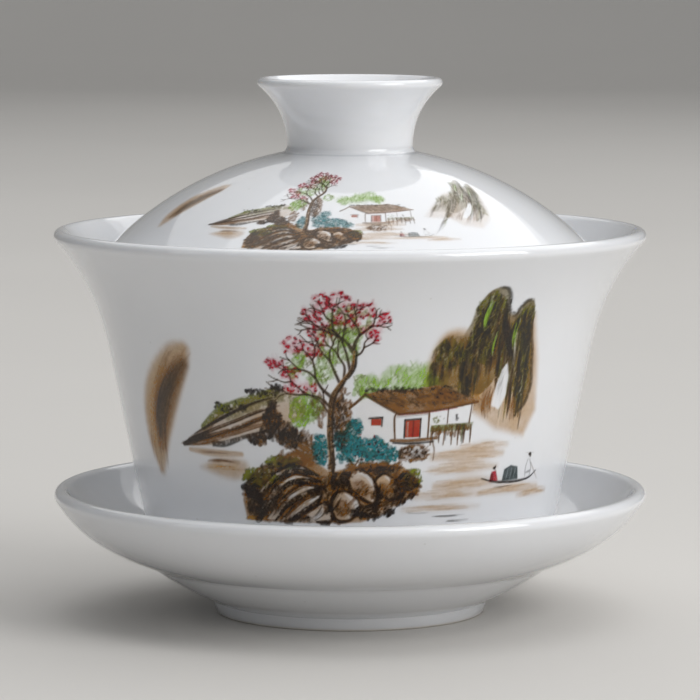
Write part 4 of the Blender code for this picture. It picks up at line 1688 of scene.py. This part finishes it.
@dataclass(frozen=True)
class Glaze:
    """Clear glaze over white porcelain.

    The body is a little translucent, the glaze a smooth coat that pools and ripples slightly.
    """

    name: str
    body: tuple[float, float, float, float] = WHITE_BODY
    cloud: float = 0.025
    ripple: float = 1.0
    ripple_depth: float = 0.006 * MM
    milkiness: float = 0.12
    milk_colour: tuple[float, float, float] = (1.0, 0.9, 0.8)
    milk_reach: float = 1.6 * MM
    coat: float = 0.6
    coat_roughness: float = 0.03
    ior: float = 1.52
    bands: tuple[Band, ...] = ()

    def material(self, flow: bpy.types.NodeTree) -> bpy.types.Material:
        """The glaze as a material.

        Args:
            flow: The shared glaze_flow group.

        Returns:
            The new material.
        """
        made, sheet, shader = finish(self.name)
        group = sheet.node("Group", node_tree=flow)
        set_inputs(group, {"Body": self.body, "Cloud": self.cloud, "Ripple": self.ripple})
        colour, rough = group.outputs["Colour"], group.outputs["Roughness"]
        for band in self.bands:
            near = near_ring_mask(sheet, band.radius, band.height, band.reach, band.fade)
            share = sheet.math("MULTIPLY", near, band.strength)
            colour = sheet.mix(share, colour, band.colour)
            duller = sheet.math("MULTIPLY", near, band.roughness)
            rough = sheet.math("MAXIMUM", rough, duller)
        bump = sheet.node("Bump")
        bump.inputs["Distance"].default_value = self.ripple_depth
        sheet.plug(group.outputs["Height"], bump.inputs["Height"])
        sheet.plug(colour, shader.inputs["Base Color"])
        sheet.plug(rough, shader.inputs["Roughness"])
        sheet.plug(bump.outputs[0], shader.inputs["Normal"])
        set_inputs(shader, {
            "IOR": self.ior,
            "Subsurface Weight": self.milkiness,
            "Subsurface Radius": self.milk_colour,
            "Subsurface Scale": self.milk_reach,
            "Coat Weight": self.coat,
            "Coat Roughness": self.coat_roughness,
        })
        return made


# ---------------------------------------------------------------- the three fired pieces


@dataclass
class Saucer:
    """The saucer: a foot ring, a low pedestal, a flared wing and a well for the bowl's foot."""

    rim_r: float = 52.4 * MM
    height: float = 22.3 * MM
    wall: float = 2.6 * MM
    rim_deg: float = 58.0
    wing_deg: float = 19.0
    foot_r: float = 23.8 * MM
    foot_width: float = 2.8 * MM
    foot_height: float = 2.3 * MM
    recess: float = 3.4 * MM
    shoulder: Vector = field(default_factory=lambda: Vector((36.0 * MM, 9.0 * MM)))
    pedestal_foot_deg: float = 24.0
    pedestal_top_deg: float = 36.0
    well_r: float = 24.6 * MM
    well_floor: float = 6.6 * MM
    well_depth: float = 1.4 * MM
    well_step: float = 0.9 * MM
    well_soft: float = 0.4
    well_foot_soft: float = 0.2

    def outline(self) -> list[Vector]:
        """Half section, from the axis underneath, round the rim, to the axis on top.

        Returns:
            The section's points, radius and height.
        """
        foot = foot_ring(self.foot_r, self.foot_width, 0, self.recess, self.foot_height)
        rim = lip_base(self.rim_r, self.height, self.wall, self.rim_deg)
        wing = sweep(self.shoulder, self.wing_deg, rim, self.rim_deg, WALL_STEPS)
        dish = offset(wing, self.wall)
        pedestal = sweep(
            foot[-1], self.pedestal_foot_deg, self.shoulder, self.pedestal_top_deg, BEND_STEPS
        )
        well_edge = Vector((self.well_r + self.well_step, self.well_floor + self.well_depth))
        well_side = Vector((self.well_r, self.well_floor))
        return join(
            foot,
            pedestal,
            wing,
            half_round(wing[-1], dish[-1]),
            list(reversed(dish)),
            self.well_lip(dish[0], well_edge, well_side),
            [Vector((0, self.well_floor))],
        )

    def well_lip(self, dish: Vector, edge: Vector, side: Vector) -> list[Vector]:
        """The softened step from the dish down into the well.

        Args:
            dish: Innermost point of the dish.
            edge: Corner at the top of the step.
            side: Corner at the bottom of the step.

        Returns:
            The points of the step.
        """
        into = (edge - dish).normalized()
        down = (side - edge).normalized()
        soft = self.well_soft * self.well_depth
        small = self.well_foot_soft * soft
        start, end = edge - soft * into, edge + soft * down
        turn = interpolate_bezier(start, edge, edge, end, LIP_STEPS)
        return join(turn, [side - small * down, side - Vector((small, 0))])

    def build(self, flow: bpy.types.NodeTree) -> bpy.types.Object:
        """Turns and glazes the saucer, and puts it on its body.

        Args:
            flow: The shared glaze_flow group.

        Returns:
            The saucer.
        """
        bare = bare_foot(self.foot_r, self.foot_width, 0)
        piece = turned("saucer_porcelain", self.outline())
        piece.data.materials.append(Glaze("saucer_glaze", bands=(bare,)).material(flow))
        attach(piece, "saucer")
        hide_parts("saucer")
        return piece


@dataclass
class Bowl:
    """The bowl: a foot ring, a round belly, a conical wall and a flared, rounded lip."""

    mouth_r: float = 52.2 * MM
    height: float = 61.2 * MM
    wall: float = 2.5 * MM
    floor_wall: float = 3.4 * MM
    flare_deg: float = 49.0
    cone_deg: float = 78.5
    belly_foot_deg: float = 8.0
    throat_r: float = 42.2 * MM
    throat_height: float = 38.3 * MM
    belly_height: float = 11.6 * MM
    foot_r: float = 23.4 * MM
    foot_width: float = 2.6 * MM
    foot_height: float = 4.0 * MM
    recess: float = 3.4 * MM
    floor_r: float = 14.0 * MM
    base: float = 6.9 * MM
    measure_r: float = 42.0 * MM

    def outer_wall(self) -> list[Vector]:
        """Outer face from the foot ring to the lip: a round belly, a cone and a flare.

        Returns:
            The face's points, radius and height.
        """
        foot_top = Vector((self.foot_r + FOOT_DRAFT, self.base + self.foot_height))
        throat = Vector((self.throat_r, self.base + self.throat_height))
        cone_length = (self.throat_height - self.belly_height) / math.sin(math.radians(self.cone_deg))
        belly = throat - cone_length * heading(self.cone_deg)
        lip = lip_base(self.mouth_r, self.base + self.height, self.wall, self.flare_deg)
        return join(
            sweep(foot_top, self.belly_foot_deg, belly, self.cone_deg, BEND_STEPS),
            [belly.lerp(throat, step / BEND_STEPS) for step in range(BEND_STEPS)],
            sweep(throat, self.cone_deg, lip, self.flare_deg, WALL_STEPS),
        )

    def outline(self) -> list[Vector]:
        """Half section, from the axis underneath, round the lip, to the axis inside.

        Returns:
            The section's points, radius and height.
        """
        foot = foot_ring(self.foot_r, self.foot_width, self.base, self.recess, self.foot_height)
        wall = self.outer_wall()
        inside = offset(wall, self.wall)
        floor = Vector((self.floor_r, self.base + self.recess + self.floor_wall))
        turn = sweep(inside[BEND_STEPS], self.cone_deg + 180, floor, 180, BEND_STEPS)
        return join(
            foot,
            wall,
            half_round(wall[-1], inside[-1]),
            list(reversed(inside[BEND_STEPS:])),
            turn,
            [Vector((0, floor.y))],
        )

    def build(self, flow: bpy.types.NodeTree) -> bpy.types.Object:
        """Turns and glazes the bowl, and puts it on its body.

        Args:
            flow: The shared glaze_flow group.

        Returns:
            The bowl.
        """
        bare = bare_foot(self.foot_r, self.foot_width, self.base)
        piece = turned("bowl_porcelain", self.outline())
        piece.data.materials.append(Glaze("bowl_glaze", bands=(bare,)).material(flow))
        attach(piece, "bowl")
        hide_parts("bowl")
        return piece

    def paint(self, enamels: bpy.types.Material) -> bpy.types.Object:
        """Fires the landscape on the front of the wall.

        Args:
            enamels: Their material.

        Returns:
            The painted sheet.
        """
        canvas = BowlLandscape().paint()
        low, high = canvas.upward[0] * MM, canvas.upward[-1] * MM
        face = [point for point in self.outer_wall() if low <= point.y <= high]
        patch = PaintedPatch("bowl_landscape", face, canvas, self.measure_r, lambda places: places[:, 2])
        piece = patch.build()
        piece.data.materials.append(enamels)
        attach(piece, "bowl")
        return piece


@dataclass
class Lid:
    """The lid: a dome that drops into the bowl's mouth, with a hollow ring knob luted on."""

    bowl: Bowl
    wall: float = 2.3 * MM
    rise: float = 19.8 * MM
    seat_depth: float = 6.4 * MM
    knob_r: float = 16.3 * MM
    knob_height: float = 11.9 * MM
    neck_r: float = 11.1 * MM
    knob_wall: float = 1.7 * MM
    knob_root: float = 1.2 * MM
    knob_flare_deg: float = 42.0
    seam_depth: float = 0.07 * MM
    seam_offset: float = 0.25 * MM
    painting_pitch: float = 0.14 * MM
    measure_r: float = 33.0 * MM

    def edge(self) -> Vector:
        """Middle of the lid's rounded edge, where it rests on the flare inside the mouth."""
        path = offset(self.bowl.outer_wall(), self.bowl.wall + SEAT_GAP + self.wall / 2)
        return at_height(path, self.bowl.base + self.bowl.height - self.seat_depth)

    def middle_r(self) -> float:
        """Radius of the dome at the middle of its wall."""
        return (self.edge().x ** 2 + self.rise**2) / (2 * self.rise)

    def centre(self) -> Vector:
        """Centre of the dome's sphere."""
        return Vector((0, self.edge().y + self.rise - self.middle_r()))

    def outer_r(self) -> float:
        """Radius of the dome outside."""
        return self.middle_r() + self.wall / 2

    def edge_deg(self) -> float:
        """Direction of the edge from the dome's centre."""
        return math.degrees(math.atan2(self.edge().y - self.centre().y, self.edge().x))

    def seam(self) -> Vector:
        """Where the knob's neck meets the dome."""
        deg = math.degrees(math.acos((self.neck_r + self.knob_root) / self.outer_r()))
        return self.centre() + self.outer_r() * heading(deg)

    def outline(self) -> list[Vector]:
        """Half section, from the axis underneath, round edge and knob, to the knob's hollow.

        Returns:
            The section's points, radius and height.
        """
        centre, outer_r = self.centre(), self.outer_r()
        edge_deg = self.edge_deg()
        root_deg = math.degrees(math.acos((self.neck_r + self.knob_root) / outer_r))
        hollow_r = self.neck_r - self.knob_wall - self.knob_root
        hollow_deg = math.degrees(math.acos(hollow_r / outer_r))
        under = arc(centre, self.middle_r() - self.wall / 2, 90, edge_deg, DOME_STEPS)
        dome = arc(centre, outer_r, edge_deg, root_deg, DOME_STEPS)
        hollow = arc(centre, outer_r, hollow_deg, 90, BEND_STEPS)
        neck = Vector((self.neck_r, dome[-1].y + self.knob_root))
        lip = lip_base(self.knob_r, hollow[-1].y + self.knob_height, self.knob_wall, self.knob_flare_deg)
        knob = sweep(neck, 90, lip, self.knob_flare_deg, WALL_STEPS)
        knob_inside = offset(knob, self.knob_wall)
        root = sweep(dome[-1], root_deg + 90, neck, 90, BEND_STEPS)
        return join(
            under,
            half_round(under[-1], dome[0]),
            dome,
            self.luting_groove(root),
            knob,
            half_round(knob[-1], knob_inside[-1]),
            list(reversed(knob_inside)),
            self.hollow_root(knob_inside[0], hollow[0]),
            hollow,
        )

    def luting_groove(self, root: list[Vector]) -> list[Vector]:
        """The fillet at the neck with the fine groove that the luting slip leaves.

        Args:
            root: The plain fillet, from the dome to the neck.

        Returns:
            The fillet, sunk a little a third of the way along.
        """
        inward = offset(root, self.seam_depth)
        first = len(root) // 3
        return [*root[:first], *inward[first : first + 3], *root[first + 3 :]]

    def hollow_root(self, start: Vector, end: Vector) -> list[Vector]:
        """The fillet at the bottom of the knob's hollow.

        Args:
            start: Bottom of the knob's inner face.
            end: Outermost point of the hollow's floor.

        Returns:
            The points of the fillet.
        """
        corner = Vector((start.x, end.y))
        return interpolate_bezier(start, corner, corner, end, BEND_STEPS)

    def build(self, flow: bpy.types.NodeTree) -> bpy.types.Object:
        """Turns and glazes the lid, and puts it on its body.

        Args:
            flow: The shared glaze_flow group.

        Returns:
            The lid.
        """
        seam, edge = self.seam(), self.edge()
        line = Band(
            seam.x - self.seam_offset, seam.y + self.seam_offset, reach=0.12 * MM, fade=0.5 * MM,
            colour=LUTING_SHADE, strength=0.55, roughness=0.0,
        )
        bare = Band(
            edge.x, edge.y - self.wall / 2, reach=0.5 * MM, fade=0.5 * MM, colour=BARE_PORCELAIN,
            strength=0.8, roughness=0.5,
        )
        piece = turned("lid_porcelain", self.outline())
        piece.data.materials.append(Glaze("lid_glaze", bands=(line, bare)).material(flow))
        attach(piece, "lid")
        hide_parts("lid")
        return piece

    def up_the_dome(self, places: np.ndarray) -> np.ndarray:
        """How far places on the dome lie from its edge, along the dome.

        Args:
            places: Places, one row each, in metres.

        Returns:
            One distance for each place.
        """
        from_axis = np.arctan2(np.hypot(places[:, 0], places[:, 1]), places[:, 2] - self.centre().y)
        return self.outer_r() * (math.radians(90 - self.edge_deg()) - from_axis)

    def paint(self, enamels: bpy.types.Material) -> bpy.types.Object:
        """Fires the small landscape on the front of the dome.

        Args:
            enamels: Their material.

        Returns:
            The painted sheet.
        """
        canvas = LidLandscape().paint()
        low, high = (math.degrees(canvas.upward[side] * MM / self.outer_r()) for side in (0, -1))
        face = arc(self.centre(), self.outer_r(), self.edge_deg() + low, self.edge_deg() + high, DOME_STEPS)
        patch = PaintedPatch(
            "lid_landscape", face, canvas, self.measure_r, self.up_the_dome, self.painting_pitch
        )
        piece = patch.build()
        piece.data.materials.append(enamels)
        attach(piece, "lid")
        return piece


# ---------------------------------------------------------------- stage


@dataclass(frozen=True)
class SoftBox:
    """A square area light aimed at the object."""

    name: str
    place: tuple[float, float, float]
    width: float
    tallness: float
    power: float
    colour: tuple[float, float, float] = (1.0, 1.0, 1.0)

    def build(self, target: Vector) -> bpy.types.Object:
        """Makes the light.

        Args:
            target: Point that it is aimed at.

        Returns:
            The light.
        """
        lamp = bpy.data.lights.new(self.name, "AREA")
        lamp.shape = "RECTANGLE"
        lamp.size, lamp.size_y = self.width, self.tallness
        lamp.energy, lamp.color = self.power, self.colour
        made = bpy.data.objects.new(self.name, lamp)
        made.location = self.place
        made.rotation_euler = (target - Vector(self.place)).to_track_quat("-Z", "Y").to_euler()
        bpy.context.scene.collection.objects.link(made)
        return made


@dataclass(frozen=True)
class Studio:
    """A plain pale floor that curves up behind, soft boxes and the camera."""

    half_width: float = 3.0
    depth: float = 2.2
    curve_r: float = 0.8
    wall_height: float = 3.0
    lens: float = 219.0
    camera_distance: float = 753.07 * MM
    camera_deg: float = 5.8948
    target_height: float = 46.395 * MM
    lens_reach: tuple[float, float] = (0.05, 20.0)
    sensor_width: float = 36.0
    floor_colour: tuple[float, float, float, float] = (0.66, 0.64, 0.61, 1.0)
    floor_darker: float = 0.96
    floor_roughness: float = 0.75
    floor_scale: float = 3.0
    floor_edges: tuple[float, float] = (0.2, 0.8)
    sky_colour: tuple[float, float, float, float] = (0.75, 0.78, 0.82, 1.0)
    sky_strength: float = 0.19
    boxes: tuple[SoftBox, ...] = (
        SoftBox("key_box", (1.1, -0.75, 0.75), 0.9, 1.0, 12.0),
        SoftBox("left_window", (-1.1, -0.5, 0.55), 0.35, 0.6, 0.5, (0.96, 0.98, 1.0)),
        SoftBox("front_fill", (0.4, -1.6, 0.6), 1.2, 0.8, 3.2),
        SoftBox("top_box", (0.2, 0.4, 1.6), 3.6, 3.0, 18.0),
        SoftBox("top_core", (0.4, 0.35, 1.5), 2.2, 2.2, 12.0),
    )

    def floor(self) -> bpy.types.Object:
        """A pale sweep: flat under the object, curving up into a wall behind it.

        Returns:
            The floor.
        """
        work = bmesh.new()
        bend = arc(Vector((self.depth, self.curve_r)), self.curve_r, -90, 0, BEND_STEPS)
        line = join(
            [Vector((-self.depth, 0))], bend, [Vector((self.depth + self.curve_r, self.wall_height))]
        )
        points = [work.verts.new((-self.half_width, point.x, point.y)) for point in line]
        edges = [work.edges.new(pair) for pair in zip(points, points[1:])]
        swept = bmesh.ops.extrude_edge_only(work, edges=edges)
        moved = [part for part in swept["geom"] if isinstance(part, bmesh.types.BMVert)]
        bmesh.ops.translate(work, verts=moved, vec=(2 * self.half_width, 0, 0))
        bmesh.ops.recalc_face_normals(work, faces=work.faces)
        made = linked("floor", work)
        paper, sheet, shader = finish("floor_paper")
        shade = sheet.ramp(sheet.noise(sheet.place(), self.floor_scale), *self.floor_edges)
        darker = (*(self.floor_darker * channel for channel in self.floor_colour[:3]), 1.0)
        sheet.plug(sheet.mix(shade, self.floor_colour, darker), shader.inputs["Base Color"])
        shader.inputs["Roughness"].default_value = self.floor_roughness
        made.data.materials.append(paper)
        return made

    def camera(self) -> bpy.types.Object:
        """A long lens a little above the rim's height, looking at the front.

        Returns:
            The camera.
        """
        lens = bpy.data.cameras.new("camera")
        lens.lens = self.lens
        lens.sensor_width = self.sensor_width
        lens.clip_start, lens.clip_end = self.lens_reach
        made = bpy.data.objects.new("camera", lens)
        tilt = math.radians(self.camera_deg)
        target = Vector((0, 0, self.target_height))
        made.location = target + self.camera_distance * Vector((0, -math.cos(tilt), math.sin(tilt)))
        made.rotation_euler = (target - made.location).to_track_quat("-Z", "Y").to_euler()
        bpy.context.scene.collection.objects.link(made)
        bpy.context.scene.camera = made
        return made

    def build(self) -> None:
        """Makes the floor, the lights, the world and the camera."""
        self.floor()
        target = Vector((0, 0, self.target_height))
        for box in self.boxes:
            box.build(target)
        world = bpy.data.worlds.new("studio")
        world.use_nodes = True
        bpy.context.scene.world = world
        sky = world.node_tree.nodes["Background"]
        set_inputs(sky, {"Color": self.sky_colour, "Strength": self.sky_strength})
        bpy.context.scene.view_settings.view_transform = "Standard"
        self.camera()


def main() -> None:
    logging.basicConfig(level=logging.INFO, format="%(name)s: %(message)s")
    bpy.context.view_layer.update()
    flow = glaze_flow_group()
    bowl = Bowl()
    lid = Lid(bowl)
    pieces = [Saucer().build(flow), bowl.build(flow), lid.build(flow)]
    over, film = ink_over_ground_group(), film_group()
    pieces.append(bowl.paint(Enamels("bowl_enamels", WHITE_BODY).material(over, film)))
    pieces.append(lid.paint(Enamels("lid_enamels", WHITE_BODY, strength=0.8).material(over, film)))
    for piece in pieces:
        LOG.info("%s: %d faces", piece.name, len(piece.data.polygons))
    Studio().build()


if __name__ == "__main__":
    main()
